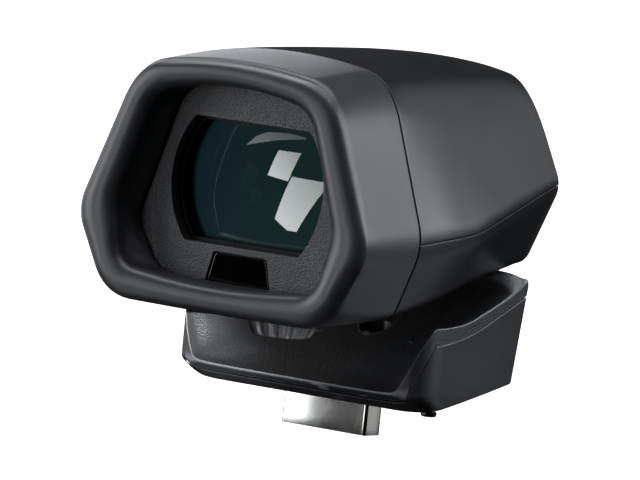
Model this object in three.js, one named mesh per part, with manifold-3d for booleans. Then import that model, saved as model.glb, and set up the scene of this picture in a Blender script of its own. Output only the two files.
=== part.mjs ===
// Camera-mounted electronic viewfinder.
// Millimetres. +Z up, the eye looks along +Y, +X is the user's right.
// Origin: centre of the sloping underside of the base, just behind the plug.

import * as THREE from 'three';
import { mergeVertices } from 'three/addons/utils/BufferGeometryUtils.js';
import Module from 'manifold-3d';

const wasm = await Module();
wasm.setup();

// ---------------------------------------------------------------- driving dimensions

const GAP = 0.3;                    // clearance between neighbouring pieces
const RIM_Y = -44.5;                // front of the eyecup
const SEAM_Y = -26.7;               // joint between eyecup and body
const FACE_Y = -36.85;              // front of the eyepiece face plate
const BODY_END_Y = 20.4;            // where the rounding of the rear face begins
const REAR_R = 3.0;                 // rounding of the rear face
const SHELL_T = 1.6;                // wall of the body shells
const EYECUP_T = 1.8;               // skirt of the eyecup

const LENS_Z = 34.59;               // optical axis
const OPENING_R = 16.82;            // lens opening, clipped above and below
const OPENING_CLIP = 11.04;

const DIAL_Y = -22.78;              // axis of the dioptre dial
const DIAL_BOTTOM_Z = 7.84;
const DIAL_TOP_Z = 12.2;
const DIAL_R_TOP = 7.4;
const DIAL_R_BOTTOM = 5.3;
const DIAL_RIBS = 14;
const CAM_TRAVEL = 1.6;             // barrel travel each way
const CAM_TURN = THREE.MathUtils.degToRad(75);
const CAM_MEAN_R = 3.9;

const PIVOT_Y = 15.49;              // tilt axis, along X
const PIVOT_Z = 18.74;
const KNUCKLE_R = 2.95;
const KNUCKLE_HALF = 11.4;
const CHEEK_IN = 12.6;
const PIN_R = 1.2;

const SLOPE = 0.175;                // rise of the underside towards the rear
const BASE_FRONT_Y = -14.95;
// The sections below are drawn with the underside 0.7 under z = 0; every body is
// lifted by this much, so that the underside passes through the origin.
const RAISE = 0.7;
const PLUG_HALF = 9.5;
const PLUG_Y0 = -7.92;
const PLUG_Y1 = -3.2;
const PLUG_BOTTOM_Z = -9.1;
const PLUG_T = 0.45;

const SCREW_Y = 6.5;                // captive mounting screw
const LOCATOR_R = 1.42;

// ---------------------------------------------------------------- solids

function solidOf(geometry) {
  const g = geometry.index ? geometry.toNonIndexed() : geometry.clone();
  g.deleteAttribute('normal');
  g.deleteAttribute('uv');
  const merged = mergeVertices(g, 1e-4);
  const pos = merged.attributes.position;
  let tri = Array.from(merged.index.array);
  tri = tri.filter((_, i) => {
    const k = i - (i % 3);
    return tri[k] !== tri[k + 1] && tri[k + 1] !== tri[k + 2] && tri[k] !== tri[k + 2];
  });
  const a = new THREE.Vector3(), b = new THREE.Vector3(), c = new THREE.Vector3();
  let volume = 0;
  for (let i = 0; i < tri.length; i += 3) {
    a.fromBufferAttribute(pos, tri[i]);
    b.fromBufferAttribute(pos, tri[i + 1]);
    c.fromBufferAttribute(pos, tri[i + 2]);
    volume += a.dot(b.cross(c));
  }
  if (volume < 0) for (let i = 0; i < tri.length; i += 3) [tri[i], tri[i + 1]] = [tri[i + 1], tri[i]];
  return new wasm.Manifold(new wasm.Mesh({
    numProp: 3,
    vertProperties: new Float32Array(pos.array),
    triVerts: new Uint32Array(tri),
  }));
}

function geometryOf(solid) {
  const mesh = solid.getMesh();
  const g = new THREE.BufferGeometry();
  g.setAttribute('position', new THREE.BufferAttribute(new Float32Array(mesh.vertProperties), 3));
  g.setIndex(new THREE.BufferAttribute(new Uint32Array(mesh.triVerts), 1));
  g.computeVertexNormals();
  return g;
}

const box = (x0, x1, y0, y1, z0, z1) =>
  solidOf(new THREE.BoxGeometry(x1 - x0, y1 - y0, z1 - z0).translate((x0 + x1) / 2, (y0 + y1) / 2, (z0 + z1) / 2));

const cylZ = (r, z0, z1, x = 0, y = 0, n = 24, rTop = r) =>
  solidOf(new THREE.CylinderGeometry(rTop, r, z1 - z0, n).rotateX(Math.PI / 2).translate(x, y, (z0 + z1) / 2));

const cylY = (r, y0, y1, x = 0, z = 0, n = 24) =>
  solidOf(new THREE.CylinderGeometry(r, r, y1 - y0, n).translate(x, (y0 + y1) / 2, z));

const cylX = (r, x0, x1, y = 0, z = 0, n = 24) =>
  solidOf(new THREE.CylinderGeometry(r, r, x1 - x0, n).rotateZ(Math.PI / 2).translate((x0 + x1) / 2, y, z));

function shapeOf(points) {
  return new THREE.Shape(points.map(([u, v]) => new THREE.Vector2(u, v)));
}

// points are (y, z); the prism runs along X
function prismX(points, x0, x1) {
  const g = new THREE.ExtrudeGeometry(shapeOf(points), { depth: x1 - x0, bevelEnabled: false });
  const m = new THREE.Matrix4().makeBasis(new THREE.Vector3(0, 1, 0), new THREE.Vector3(0, 0, 1), new THREE.Vector3(1, 0, 0));
  return solidOf(g.applyMatrix4(m).translate(x0, 0, 0));
}

// points are (x, z); the prism runs along Y
function prismY(points, y0, y1) {
  const g = new THREE.ExtrudeGeometry(shapeOf(points), { depth: y1 - y0, bevelEnabled: false });
  const m = new THREE.Matrix4().makeBasis(new THREE.Vector3(1, 0, 0), new THREE.Vector3(0, 0, 1), new THREE.Vector3(0, -1, 0));
  return solidOf(g.applyMatrix4(m).translate(0, y1, 0));
}

// points are (x, y); the prism runs along Z
function prismZ(points, z0, z1) {
  return solidOf(new THREE.ExtrudeGeometry(shapeOf(points), { depth: z1 - z0, bevelEnabled: false }).translate(0, 0, z0));
}

// rings of equal length, joined one to the next; both ends are capped, or the last joins the first
function loft(rings, looped = false) {
  const n = rings[0].length;
  const pos = [];
  const put = (...ps) => ps.forEach((p) => pos.push(p.x, p.y, p.z));
  const last = looped ? rings.length : rings.length - 1;
  for (let j = 0; j < last; j++) {
    const r0 = rings[j], r1 = rings[(j + 1) % rings.length];
    for (let i = 0; i < n; i++) {
      const k = (i + 1) % n;
      put(r0[i], r0[k], r1[k]);
      put(r0[i], r1[k], r1[i]);
    }
  }
  if (!looped) {
    for (const [ring, flip] of [[rings[0], true], [rings[rings.length - 1], false]]) {
      const c = ring.reduce((s, p) => s.clone().add(p), new THREE.Vector3()).divideScalar(n);
      for (let i = 0; i < n; i++) {
        const k = (i + 1) % n;
        if (flip) put(c, ring[k], ring[i]);
        else put(c, ring[i], ring[k]);
      }
    }
  }
  const g = new THREE.BufferGeometry();
  g.setAttribute('position', new THREE.BufferAttribute(new Float32Array(pos), 3));
  return solidOf(g);
}

// ---------------------------------------------------------------- smooth tables

// monotone cubic through [[t, value], ...]
function curve(table) {
  const t = table.map((p) => p[0]), v = table.map((p) => p[1]), n = t.length;
  const d = [], m = [];
  for (let i = 0; i < n - 1; i++) d.push((v[i + 1] - v[i]) / (t[i + 1] - t[i]));
  for (let i = 0; i < n; i++) {
    if (i === 0) m.push(d[0]);
    else if (i === n - 1) m.push(d[n - 2]);
    else if (d[i - 1] * d[i] <= 0) m.push(0);
    else {
      const w1 = 2 * (t[i + 1] - t[i]) + (t[i] - t[i - 1]);
      const w2 = (t[i + 1] - t[i]) + 2 * (t[i] - t[i - 1]);
      m.push((w1 + w2) / (w1 / d[i - 1] + w2 / d[i]));
    }
  }
  return (x) => {
    if (x <= t[0]) return v[0] + m[0] * (x - t[0]);
    if (x >= t[n - 1]) return v[n - 1] + m[n - 1] * (x - t[n - 1]);
    let i = 0;
    while (x > t[i + 1]) i++;
    const h = t[i + 1] - t[i], s = (x - t[i]) / h;
    return v[i] * (2 * s ** 3 - 3 * s ** 2 + 1) + m[i] * h * (s ** 3 - 2 * s ** 2 + s)
      + v[i + 1] * (3 * s ** 2 - 2 * s ** 3) + m[i + 1] * h * (s ** 3 - s ** 2);
  };
}

// ---------------------------------------------------------------- head sections

// Right half of a section: top centre, top corner, side vertex, bottom corner, bottom centre.
// zt, zc: height of the top and bottom edge on the centre line; the rest are corner apexes
// with the length of edge that each rounding takes.
const HEAD = [
  //  y      zt     xt     ztc    dt   xs     zs     ds   xb     zb     db   zc
  [-44.5, 56.35, 21.69, 54.21, 7.15, 32.72, 26.57, 3.81, 24.65, 12.09, 5.73, 11.90],
  [-26.7, 58.44, 21.73, 56.13, 8.13, 32.13, 28.03, 4.11, 27.04, 14.53, 2.05, 12.75],
  [-18.0, 58.86, 20.94, 56.44, 9.46, 32.45, 29.02, 3.97, 26.82, 16.14, 2.35, 15.00],
  [-10.7, 58.99, 20.09, 56.54, 10.37, 32.13, 29.85, 3.85, 25.87, 17.49, 2.79, 16.88],
  [0.0, 59.06, 18.59, 56.51, 11.03, 30.47, 32.57, 3.47, 23.40, 19.46, 2.86, 19.20],
  [10.0, 58.79, 17.96, 56.39, 11.29, 28.24, 35.11, 3.11, 21.52, 21.06, 2.72, 20.98],
  [18.0, 58.19, 17.06, 55.99, 11.21, 26.47, 37.15, 2.78, 19.98, 22.33, 2.57, 22.31],
  [20.4, 57.88, 16.65, 55.73, 11.05, 25.92, 37.76, 2.64, 19.52, 22.71, 2.38, 22.70],
];
const HEAD_CURVES = Array.from({ length: 11 }, (_, k) => curve(HEAD.map((row) => [row[0], row[k + 1]])));
const headParams = (y) => HEAD_CURVES.map((f) => f(y));

const RIM_INNER = [51.92, 17.28, 49.69, 4.60, 24.35, 29.13, 3.00, 21.79, 18.25, 3.60, 16.79];
const FUNNEL_END = [51.65, 15.39, 50.79, 4.40, 23.26, 25.94, 2.80, 17.44, 17.45, 3.20, 17.01];

// number of steps along each piece of the right half
const ARC_TOP = 4, ARC_CORNER = 6, ARC_SIDE = 4, ARC_LOW = 5, ARC_BOTTOM = 4;

// offset moves the outline along its normal: negative is inwards
function section(p, y, offset = 0) {
  const [zt, xt, ztc, dt, xs, zs, ds, xb, zb, db, zc] = p;
  const V = (x, z) => new THREE.Vector2(x, z);
  const share = 0.72;
  const top = V(0, ztc + (zt - ztc) / (1 - share / 2));
  const bottom = V(0, zb + (zc - zb) / (1 - share / 2));
  const T = V(xt, ztc), S = V(xs, zs), B = V(xb, zb);
  const along = (a, b, d) => a.clone().add(b.clone().sub(a).setLength(d));
  const bez = (a, c, b, n) => Array.from({ length: n + 1 }, (_, i) => {
    const s = i / n;
    return a.clone().multiplyScalar((1 - s) ** 2).add(c.clone().multiplyScalar(2 * s * (1 - s))).add(b.clone().multiplyScalar(s * s));
  });
  const dTop = top.distanceTo(T) * share, dBot = bottom.distanceTo(B) * share;
  const right = [
    ...bez(along(top, V(-xt, ztc), dTop), top, along(top, T, dTop), 2 * ARC_TOP).slice(ARC_TOP),
    ...bez(along(T, top, Math.min(dt, top.distanceTo(T) - dTop)), T, along(T, S, dt), ARC_CORNER),
    ...bez(along(S, T, ds), S, along(S, B, ds), ARC_SIDE),
    ...bez(along(B, S, db), B, along(B, bottom, Math.min(db, bottom.distanceTo(B) - dBot)), ARC_LOW),
    ...bez(along(bottom, B, dBot), bottom, along(bottom, V(-xb, zb), dBot), 2 * ARC_BOTTOM).slice(0, ARC_BOTTOM + 1),
  ];
  const ring = [...right, ...right.slice(1, -1).reverse().map((q) => V(-q.x, q.y))];
  const clean = ring;
  const n = clean.length;
  const moved = clean.map((q, i) => {
    let a = clean[(i + n - 1) % n], b = clean[(i + 1) % n];
    if (a.distanceTo(q) < 1e-6) a = clean[(i + n - 2) % n];
    if (b.distanceTo(q) < 1e-6) b = clean[(i + 2) % n];
    const t = b.clone().sub(a).normalize();
    return V(q.x - t.y * offset, q.y + t.x * offset);
  });
  return moved.map((q) => new THREE.Vector3(q.x, y, q.y));
}
const headRing = (y, offset = 0) => section(headParams(y), y, offset);
const mixed = (p, q, s) => p.map((v, i) => v + (q[i] - v) * s);

// a circle clipped flat above and below, in (x, z)
function clipped(r, clip, n = 10) {
  const a0 = Math.asin(Math.min(1, clip / r));
  const right = Array.from({ length: n + 1 }, (_, i) => {
    const a = -a0 + (2 * a0 * i) / n;
    return [r * Math.cos(a), LENS_Z + r * Math.sin(a)];
  });
  return [...right, ...right.map(([x, z]) => [-x, 2 * LENS_Z - z])];
}
const clippedPrism = (r, clip, y0, y1, n) => prismY(clipped(r, clip, n), y0, y1);

// ---------------------------------------------------------------- materials

const look = (color, roughness, metalness = 0) => new THREE.MeshStandardMaterial({ color, roughness, metalness });
const rubber = look(0x3a3b3f, 0.55);
const grained = look(0x232427, 0.6);
const shellPaint = look(0x2f3034, 0.5);
const gloss = look(0x08080a, 0.12);
const glass = new THREE.MeshStandardMaterial({ color: 0x1f4a4a, roughness: 0.05, metalness: 0.1 });
const blackPlastic = look(0x1b1b1d, 0.6);
const board = look(0x1f4d33, 0.5);
const steel = look(0xb9bbbd, 0.3, 1);
const darkSteel = look(0x4a4b4e, 0.4, 1);
const aluminium = look(0x8d9094, 0.45, 0.9);
const contactMetal = look(0xd0b060, 0.35, 1);
const polished = look(0xd9dadb, 0.18, 1);
const bronze = look(0x9a7b46, 0.45, 0.9);
const amber = look(0x8a5a18, 0.5);

const part = new THREE.Group();
part.name = 'viewfinder';
function add(name, solid, material, group = part) {
  const mesh = new THREE.Mesh(geometryOf(solid).translate(0, 0, RAISE), material);
  mesh.name = name;
  group.add(mesh);
  return mesh;
}

// ---------------------------------------------------------------- eyecup

{
  const rings = [];
  const outerY = [SEAM_Y - GAP / 2, -32, -38, RIM_Y + 2.3];
  outerY.forEach((y) => rings.push(headRing(y)));
  const rimOuter = headParams(RIM_Y);
  for (const a of [30, 60, 90, 120, 150]) {
    const s = (1 - Math.cos(THREE.MathUtils.degToRad(a))) / 2;
    rings.push(section(mixed(rimOuter, RIM_INNER, s), RIM_Y + 2.3 * (1 - Math.sin(THREE.MathUtils.degToRad(a)))));
  }
  rings.push(section(RIM_INNER, RIM_Y + 2.3));
  rings.push(section(mixed(RIM_INNER, FUNNEL_END, 0.28), RIM_Y + 4.0));
  rings.push(section(FUNNEL_END, FACE_Y - 0.9));
  rings.push(section(FUNNEL_END, FACE_Y - GAP));
  rings.push(headRing(FACE_Y - GAP, -EYECUP_T));
  rings.push(headRing(SEAM_Y - GAP / 2, -EYECUP_T));
  add('eyecup', loft(rings, true), rubber);
}

// ---------------------------------------------------------------- eyepiece frame and window

const windowHole = [[-5.87, 22.30], [-7.4, 16.2], [7.4, 16.2], [5.87, 22.30]];
const windowGlass = [[-5.6, 22.02], [-6.85, 17.1], [6.85, 17.1], [5.6, 22.02]];
const frameInset = EYECUP_T + GAP;

// The eyecup's underside rises towards its rear edge, so the frame that it slides on is cut
// off at the height of that edge, all the way to the face.
function frameRing(y, offset) {
  const p = headParams(y), edge = headParams(SEAM_Y - GAP / 2);
  const [, , , , xs, zs, , xb, zb] = p;
  const low = Math.max(zb, edge[8]);
  p[7] = xb + ((xs - xb) * (low - zb)) / (zs - zb);
  p[8] = low;
  p[10] = Math.max(p[10], edge[10]);
  return section(p, y, offset);
}
{
  const outer = loft([FACE_Y, -31, -24.5].map((y) => frameRing(y, -frameInset)));
  const inner = loft([-34.6, -31, -24.0].map((y) => frameRing(y, -(frameInset + 1.5))));
  let frame = outer.subtract(inner);
  frame = frame.subtract(clippedPrism(OPENING_R, OPENING_CLIP, FACE_Y - 1, -34.0, 14));
  frame = frame.subtract(prismY(windowHole, FACE_Y - 1, FACE_Y + 1.1));
  frame = frame.subtract(box(-4.2, 4.2, FACE_Y + 0.5, -34.0, 17.9, 21.2));
  frame = frame.subtract(cylZ(3.2, 8, 20, 0, DIAL_Y));
  add('eyepiece_frame', frame, grained);
  add('sensor_window', prismY(windowGlass, FACE_Y + 0.12, FACE_Y + 0.8), gloss);
  add('proximity_sensor', box(-2.0, 2.0, FACE_Y + 1.4, FACE_Y + 2.4, 18.6, 20.6), blackPlastic);
  add('sensor_board', box(-5.5, 5.5, -34.2, -33.6, 16.9, 21.6), board);
  add('lens_retainer', clippedPrism(18.0, 12.3, -34.5 + 0.2, -33.9, 14)
    .subtract(clippedPrism(OPENING_R - 0.7, OPENING_CLIP - 0.7, -36, -32, 14)), blackPlastic);
}

// ---------------------------------------------------------------- optics

function lensSolid(yFront, sagFront, yBack, sagBack, r, clip) {
  const steps = 4;
  const pts = [];
  const curveOf = (y, sag, dir) => (rr) => y + dir * sag * (rr / r) ** 2;
  const f = curveOf(yFront, sagFront, 1), b = curveOf(yBack, sagBack, -1);
  for (let i = 0; i <= steps; i++) pts.push(new THREE.Vector2((r * i) / steps, f((r * i) / steps)));
  for (let i = steps; i >= 0; i--) pts.push(new THREE.Vector2((r * i) / steps, b((r * i) / steps)));
  const lathe = solidOf(new THREE.LatheGeometry(pts, 28).translate(0, 0, LENS_Z));
  return lathe.intersect(box(-r - 1, r + 1, yFront - 5, yBack + 5, LENS_Z - clip, LENS_Z + clip));
}
add('eye_lens', lensSolid(-34.3, 2.6, -26.9, 1.6, 17.7, 12.0), glass);
add('middle_lens', lensSolid(-21.8, 1.6, -17.2, 0.6, 14.0, 11.5), glass);
add('rear_lens', lensSolid(-16.4, 0.9, -12.2, 1.2, 14.0, 11.5), glass);

add('barrel_guide', clippedPrism(17.4, 14.9, -25.8, -6, 14)
  .subtract(clippedPrism(16.0, 13.5, -27, -4, 14))
  .subtract(box(-1.9, 1.9, DIAL_Y - 2.0, DIAL_Y + CAM_MEAN_R + CAM_TRAVEL + 1.3, 15, 24)), blackPlastic);
add('lens_barrel', clippedPrism(15.7, 13.2, -23.0, -10.6, 14)
  .subtract(clippedPrism(14.3, 11.8, -24, -9, 14))
  .subtract(cylZ(0.9, 20.6, 24.5, 0, DIAL_Y + CAM_MEAN_R, 16)), blackPlastic);
add('cam_follower', cylZ(0.6, 18.55, 22.6, 0, DIAL_Y + CAM_MEAN_R, 16), steel);

// ---------------------------------------------------------------- dioptre dial and cam

{
  const rTop = DIAL_R_TOP, rBot = DIAL_R_BOTTOM;
  const profile = [[0, DIAL_BOTTOM_Z + 0.35], [rBot - 1.2, DIAL_BOTTOM_Z + 0.35], [rBot - 0.8, DIAL_BOTTOM_Z], [rBot - 0.3, DIAL_BOTTOM_Z],
    [rBot, DIAL_BOTTOM_Z + 0.4], [rTop - 0.45, DIAL_TOP_Z - 0.5], [rTop - 0.45, DIAL_TOP_Z], [0, DIAL_TOP_Z]];
  let dial = solidOf(new THREE.LatheGeometry(profile.map(([r, z]) => new THREE.Vector2(r, z)), 42).rotateX(Math.PI / 2).scale(1, 1, 1));
  for (let i = 0; i < DIAL_RIBS; i++) {
    const a = (i * 2 * Math.PI) / DIAL_RIBS;
    const rib = prismX([[-(rTop), DIAL_TOP_Z - 0.35], [-(rTop), DIAL_TOP_Z], [-(rBot - 1.5), DIAL_TOP_Z], [-(rBot - 1.5), DIAL_BOTTOM_Z + 0.5], [-(rBot + 0.35), DIAL_BOTTOM_Z + 0.5]], -0.55, 0.55);
    dial = dial.add(rib.rotate([0, 0, (a * 180) / Math.PI]));
  }
  dial = dial.translate([0, DIAL_Y, 0]);
  dial = dial.add(cylZ(2.3, DIAL_TOP_Z - 0.5, 17.3, 0, DIAL_Y));
  dial = dial.subtract(cylZ(0.95, 13.4, 17.6, 0, DIAL_Y, 16));
  add('dioptre_dial', dial, blackPlastic);

  // spiral groove: its radius grows evenly with the angle, so the barrel moves evenly
  const groove = [];
  const steps = 18, width = 1.66;
  const ends = CAM_TURN + 0.42;
  const at = (t, off) => {
    const a = Math.PI / 2 + t;
    const r = CAM_MEAN_R - THREE.MathUtils.clamp(t / CAM_TURN, -1, 1) * CAM_TRAVEL + off;
    return [r * Math.cos(a), DIAL_Y + r * Math.sin(a)];
  };
  for (let i = 0; i <= steps; i++) groove.push(at(-ends + (2 * ends * i) / steps, width / 2));
  for (let i = steps; i >= 0; i--) groove.push(at(-ends + (2 * ends * i) / steps, -width / 2));
  let cam = cylZ(6.3, 17.65, 19.3, 0, DIAL_Y, 36);
  cam = cam.subtract(prismZ(groove, 18.2, 20));
  cam = cam.subtract(cylZ(1.1, 17, 20, 0, DIAL_Y, 16));
  add('dial_cam', cam, bronze);
  add('dial_screw', cylZ(0.75, 13.8, 19.7, 0, DIAL_Y, 16).add(cylZ(1.45, 19.35 + 0.2, 20.25, 0, DIAL_Y, 16)), darkSteel);
}

// ---------------------------------------------------------------- body shells

const SEAM_LINE = [[-34, 27.2], [SEAM_Y, 28.03], [-10.7, 29.85], [20.4, 37.76], [30, 40.2]];
const seamZ = (y) => {
  let i = 0;
  while (i < SEAM_LINE.length - 2 && y > SEAM_LINE[i + 1][0]) i++;
  const [y0, z0] = SEAM_LINE[i], [y1, z1] = SEAM_LINE[i + 1];
  return z0 + ((z1 - z0) * (y - y0)) / (y1 - y0);
};
{
  const ys = [SEAM_Y + GAP / 2, -22, -17, -12, -7, -1, 6, 13, 17.5, BODY_END_Y];
  const rings = ys.map((y) => headRing(y));
  for (const a of [30, 55, 75, 90]) {
    const r = THREE.MathUtils.degToRad(a);
    rings.push(section(headParams(BODY_END_Y), BODY_END_Y + REAR_R * Math.sin(r), -REAR_R * (1 - Math.cos(r))));
  }
  const outer = loft(rings);
  const inner = loft([-28, -22, -17, -12, -7, -1, 6, 13, BODY_END_Y, BODY_END_Y + 1.2].map((y, i) =>
    (i < 9 ? headRing(y, -SHELL_T) : section(headParams(BODY_END_Y), y, -SHELL_T - 0.5))));
  const hollow = outer.subtract(inner);
  const above = prismX([...SEAM_LINE.map(([y, z]) => [y, z + 0.12]), [30, 70], [-34, 70]], -40, 40);
  const below = prismX([...SEAM_LINE.map(([y, z]) => [y, z - 0.12]), [30, 0], [-34, 0]], -40, 40);
  let upper = hollow.intersect(above);
  let lower = hollow.intersect(below);

  const bosses = [[21.5, -12], [-21.5, -12], [14.6, 17], [-14.6, 17]];
  bosses.forEach(([x, y], i) => {
    const z = seamZ(y);
    upper = upper.add(cylZ(2.0, z + 0.9, 70, x, y, 16).intersect(outer));
    lower = lower.add(cylZ(2.0, 0, z - 0.9, x, y, 16).intersect(outer));
    const floor = y < 0 ? 17.4 : 22.5;
    lower = lower.subtract(cylZ(1.2, 0, z, x, y, 16)).subtract(cylZ(1.75, 0, floor + 1.3, x, y, 16));
    upper = upper.subtract(cylZ(1.2, z, z + 6, x, y, 16));
    add(`shell_screw_${i + 1}`, cylZ(0.85, floor + 0.9, z + 5, x, y, 12).add(cylZ(1.4, floor + 0.1, floor + 1.0, x, y, 12)), darkSteel);
  });
  // passage for the hinge bracket and for the dial
  lower = lower.subtract(box(-10.9, 10.9, PIVOT_Y - 2.6, PIVOT_Y + 2.6, 18, 26));
  lower = lower.add(cylZ(3.8, 12.6, 14.95, 0, DIAL_Y)).subtract(cylZ(2.75, 8, 20, 0, DIAL_Y));
  add('upper_shell', upper, shellPaint);
  add('lower_shell', lower, shellPaint);
}

// ---------------------------------------------------------------- display and electronics

add('display_holder', box(-13, 13, -3.5, 1.5, 24.5, 45).subtract(box(-9.6, 9.6, -5, 0.4, 27.2, 42)).subtract(box(-3, 3, -1, 3, 26, 43)), blackPlastic);
add('display_panel', box(-9.2, 9.2, -1.6, 0.1, 27.6, 41.6), gloss);
add('driver_board', box(-15.5, 15.5, 4.2, 5.2, 25.4, 48), board);
add('heat_spreader', box(-12, 12, 2.2, 3.6, 28, 44), aluminium);

// ---------------------------------------------------------------- hinge, head side

const shellFloor = (y) => 22.15 + 0.1735 * (y - PIVOT_Y) + SHELL_T + 0.35;
{
  const t = 1.3;
  const neck = [[PIVOT_Y - 2.1, PIVOT_Z], [PIVOT_Y + 2.1, PIVOT_Z], [PIVOT_Y + 2.1, shellFloor(PIVOT_Y + 2.1) + 0.4], [PIVOT_Y - 2.1, shellFloor(PIVOT_Y - 2.1) + 0.4]];
  const plate = [[8.2, shellFloor(8.2)], [19.6, shellFloor(19.6)], [19.6, shellFloor(19.6) + t], [8.2, shellFloor(8.2) + t]];
  let bracket = cylX(KNUCKLE_R, -KNUCKLE_HALF, KNUCKLE_HALF, PIVOT_Y, PIVOT_Z, 28)
    .add(prismX(neck, -10.4, 10.4)).add(prismX(plate, -11.6, 11.6))
    .subtract(cylX(PIN_R + 0.2, -20, 20, PIVOT_Y, PIVOT_Z, 20));
  for (const s of [-1, 1]) {
    bracket = bracket.subtract(cylZ(1.15, 20, 30, s * 7.5, 10.4, 16));
    const z = shellFloor(10.4);
    add(s < 0 ? 'bracket_screw_left' : 'bracket_screw_right',
      cylZ(0.8, z - 0.15, z + t + 1.0, s * 7.5, 10.4, 12).add(cylZ(1.6, z + t + 0.5, z + t + 1.5, s * 7.5, 10.4, 16)), darkSteel);
  }
  // passage for the flat cable
  bracket = bracket.subtract(box(-3.2, 3.2, PIVOT_Y - 0.6, PIVOT_Y + 0.6, PIVOT_Z + 1.6, 30));
  add('hinge_bracket', bracket, darkSteel);
  add('head_cable', prismX([[PIVOT_Y - 0.15, 22.2], [PIVOT_Y + 0.15, 22.2], [PIVOT_Y + 0.15, 27.2], [6.1, 31.2], [5.6, 31.2], [5.6, 30.9], [6.0, 30.9], [PIVOT_Y - 0.15, 26.9]], -2.6, 2.6), amber);
}
add('hinge_pin', cylX(PIN_R, -19, 19, PIVOT_Y, PIVOT_Z, 20), steel);
for (const s of [-1, 1]) {
  add(s < 0 ? 'friction_washer_left' : 'friction_washer_right',
    cylX(2.5, s < 0 ? -12.3 : 11.7, s < 0 ? -11.7 : 12.3, PIVOT_Y, PIVOT_Z, 24).subtract(cylX(PIN_R + 0.2, -20, 20, PIVOT_Y, PIVOT_Z, 20)), bronze);
}

// ---------------------------------------------------------------- base

const sideX = (y) => 28.2 - (4.8 * (y - BASE_FRONT_Y)) / 33.0;      // outer wall
const edgeZ = curve([[-20, 12.85], [-13.6, 12.9], [-8, 13.1], [-3.2, 13.6], [2, 14.95], [7.45, 16.5], [13, 18.3], [16, 19.5], [17.3, 20.4], [19, 21.7]]);
const tipLift = curve([[-20, 1.1], [-13.8, 1.08], [-11.2, 1], [20, 1]]);  // the diagonals end in a crisp corner
const saddleZ = curve([[-20, -0.15], [-18.4, 0.1], [-14.95, 0.75], [-10, 1.9], [-5.5, 3.3], [-1, 5.15], [3, 7.7], [6.5, 10.9], [9.3, 14.2], [11.4, 17.2], [12.6, 18.9]]);
const cornerX = curve([[-18.4, 22.8], [-17.7, 23], [-16.8, 23.2], [-15.4, 23.4], [-14.2, 23], [-12, 21.2], [-8, 18.9], [-3, 16.8], [3, 14.6], [9, 15.6], [13, 20.4], [18, 21.6]]);
const spread = curve([[-18.4, 0.9], [-15.4, 1.4], [-12.5, 3], [-8, 5.6], [-3, 7.2], [4, 7.4], [10, 4.4], [13, 2], [18, 0.8]]);
const ramp = (d, k) => (d + Math.sqrt(d * d + k * k)) / 2;

function saddleCentre(y) {
  const onBarrel = Math.abs(y - PIVOT_Y) < KNUCKLE_R ? PIVOT_Z + Math.sqrt(KNUCKLE_R ** 2 - (y - PIVOT_Y) ** 2) : PIVOT_Z;
  return y < PIVOT_Y - KNUCKLE_R + 0.05 ? saddleZ(y) : onBarrel;
}
function saddle(x, y) {
  const k = spread(y), x1 = cornerX(y), xe = sideX(y), c = saddleCentre(y), e = Math.min(edgeZ(y), y > PIVOT_Y ? c + 1e-3 : 1e9);
  return Math.min(c + ((e - c) * tipLift(y) * ramp(Math.abs(x) - x1, k)) / ramp(xe - x1, k), Math.max(e, c));
}
// parting between cover and lower shell: a band of even width under the rim
const partCentre = curve([[-20, -1.8], [-18.4, -1.6], [-16, -1.25], [-14.95, -1.05], [-10, 0.1], [-5.5, 1.65], [-1, 3.4], [3, 5.8], [6.5, 8.6], [9.3, 10.6], [12.6, 12.2], [19, 13]]);
const partEdge = curve([[-20, 9.5], [-12.6, 9.75], [-8, 10.25], [-1.3, 11.45], [7.45, 14.1], [17.95, 17.6], [20, 18.2]]);
const partCorner = curve([[-18.4, 24.2], [-16.9, 25], [-15.7, 25.5], [-14.4, 25.7], [-13.2, 25], [-11.5, 23.2], [-8, 20.8], [-3, 18.6], [3, 16.8], [9, 16.4], [13, 17.5], [18, 18.5]]);
const partSpread = curve([[-18.4, 0.9], [-15, 1.2], [-12, 2.6], [-8, 4.8], [-3, 6.4], [4, 6.6], [10, 5.2], [13, 4], [18, 3.6]]);
function parting(x, y) {
  const k = partSpread(y), x1 = partCorner(y), xe = sideX(y), c = partCentre(y), e = partEdge(y);
  return Math.min(c + ((e - c) * tipLift(y) * ramp(Math.abs(x) - x1, k)) / ramp(xe - x1, k), Math.max(e, c));
}

// everything above a height field, over a grid of x stations and y stations
function aboveField(field, xs, ys, top, lift = 0) {
  const rings = ys.map((y) => {
    const low = xs.map((x) => new THREE.Vector3(x, y, field(x, y) + lift));
    return [...low, new THREE.Vector3(xs[xs.length - 1], y, top), new THREE.Vector3(xs[0], y, top)];
  });
  const n = rings[0].length;
  const pos = [];
  const put = (...ps) => ps.forEach((p) => pos.push(p.x, p.y, p.z));
  for (let j = 0; j < rings.length - 1; j++) {
    for (let i = 0; i < n; i++) {
      const k = (i + 1) % n;
      put(rings[j][i], rings[j + 1][k], rings[j][k]);
      put(rings[j][i], rings[j + 1][i], rings[j + 1][k]);
    }
  }
  for (const [ring, flip] of [[rings[0], false], [rings[rings.length - 1], true]]) {
    const flat = ring.map((p) => new THREE.Vector2(p.x, p.z));
    for (const [a, b, c] of THREE.ShapeUtils.triangulateShape(flat, [])) {
      if (flip) put(ring[a], ring[c], ring[b]);
      else put(ring[a], ring[b], ring[c]);
    }
  }
  const g = new THREE.BufferGeometry();
  g.setAttribute('position', new THREE.BufferAttribute(new Float32Array(pos), 3));
  return solidOf(g);
}

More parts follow.
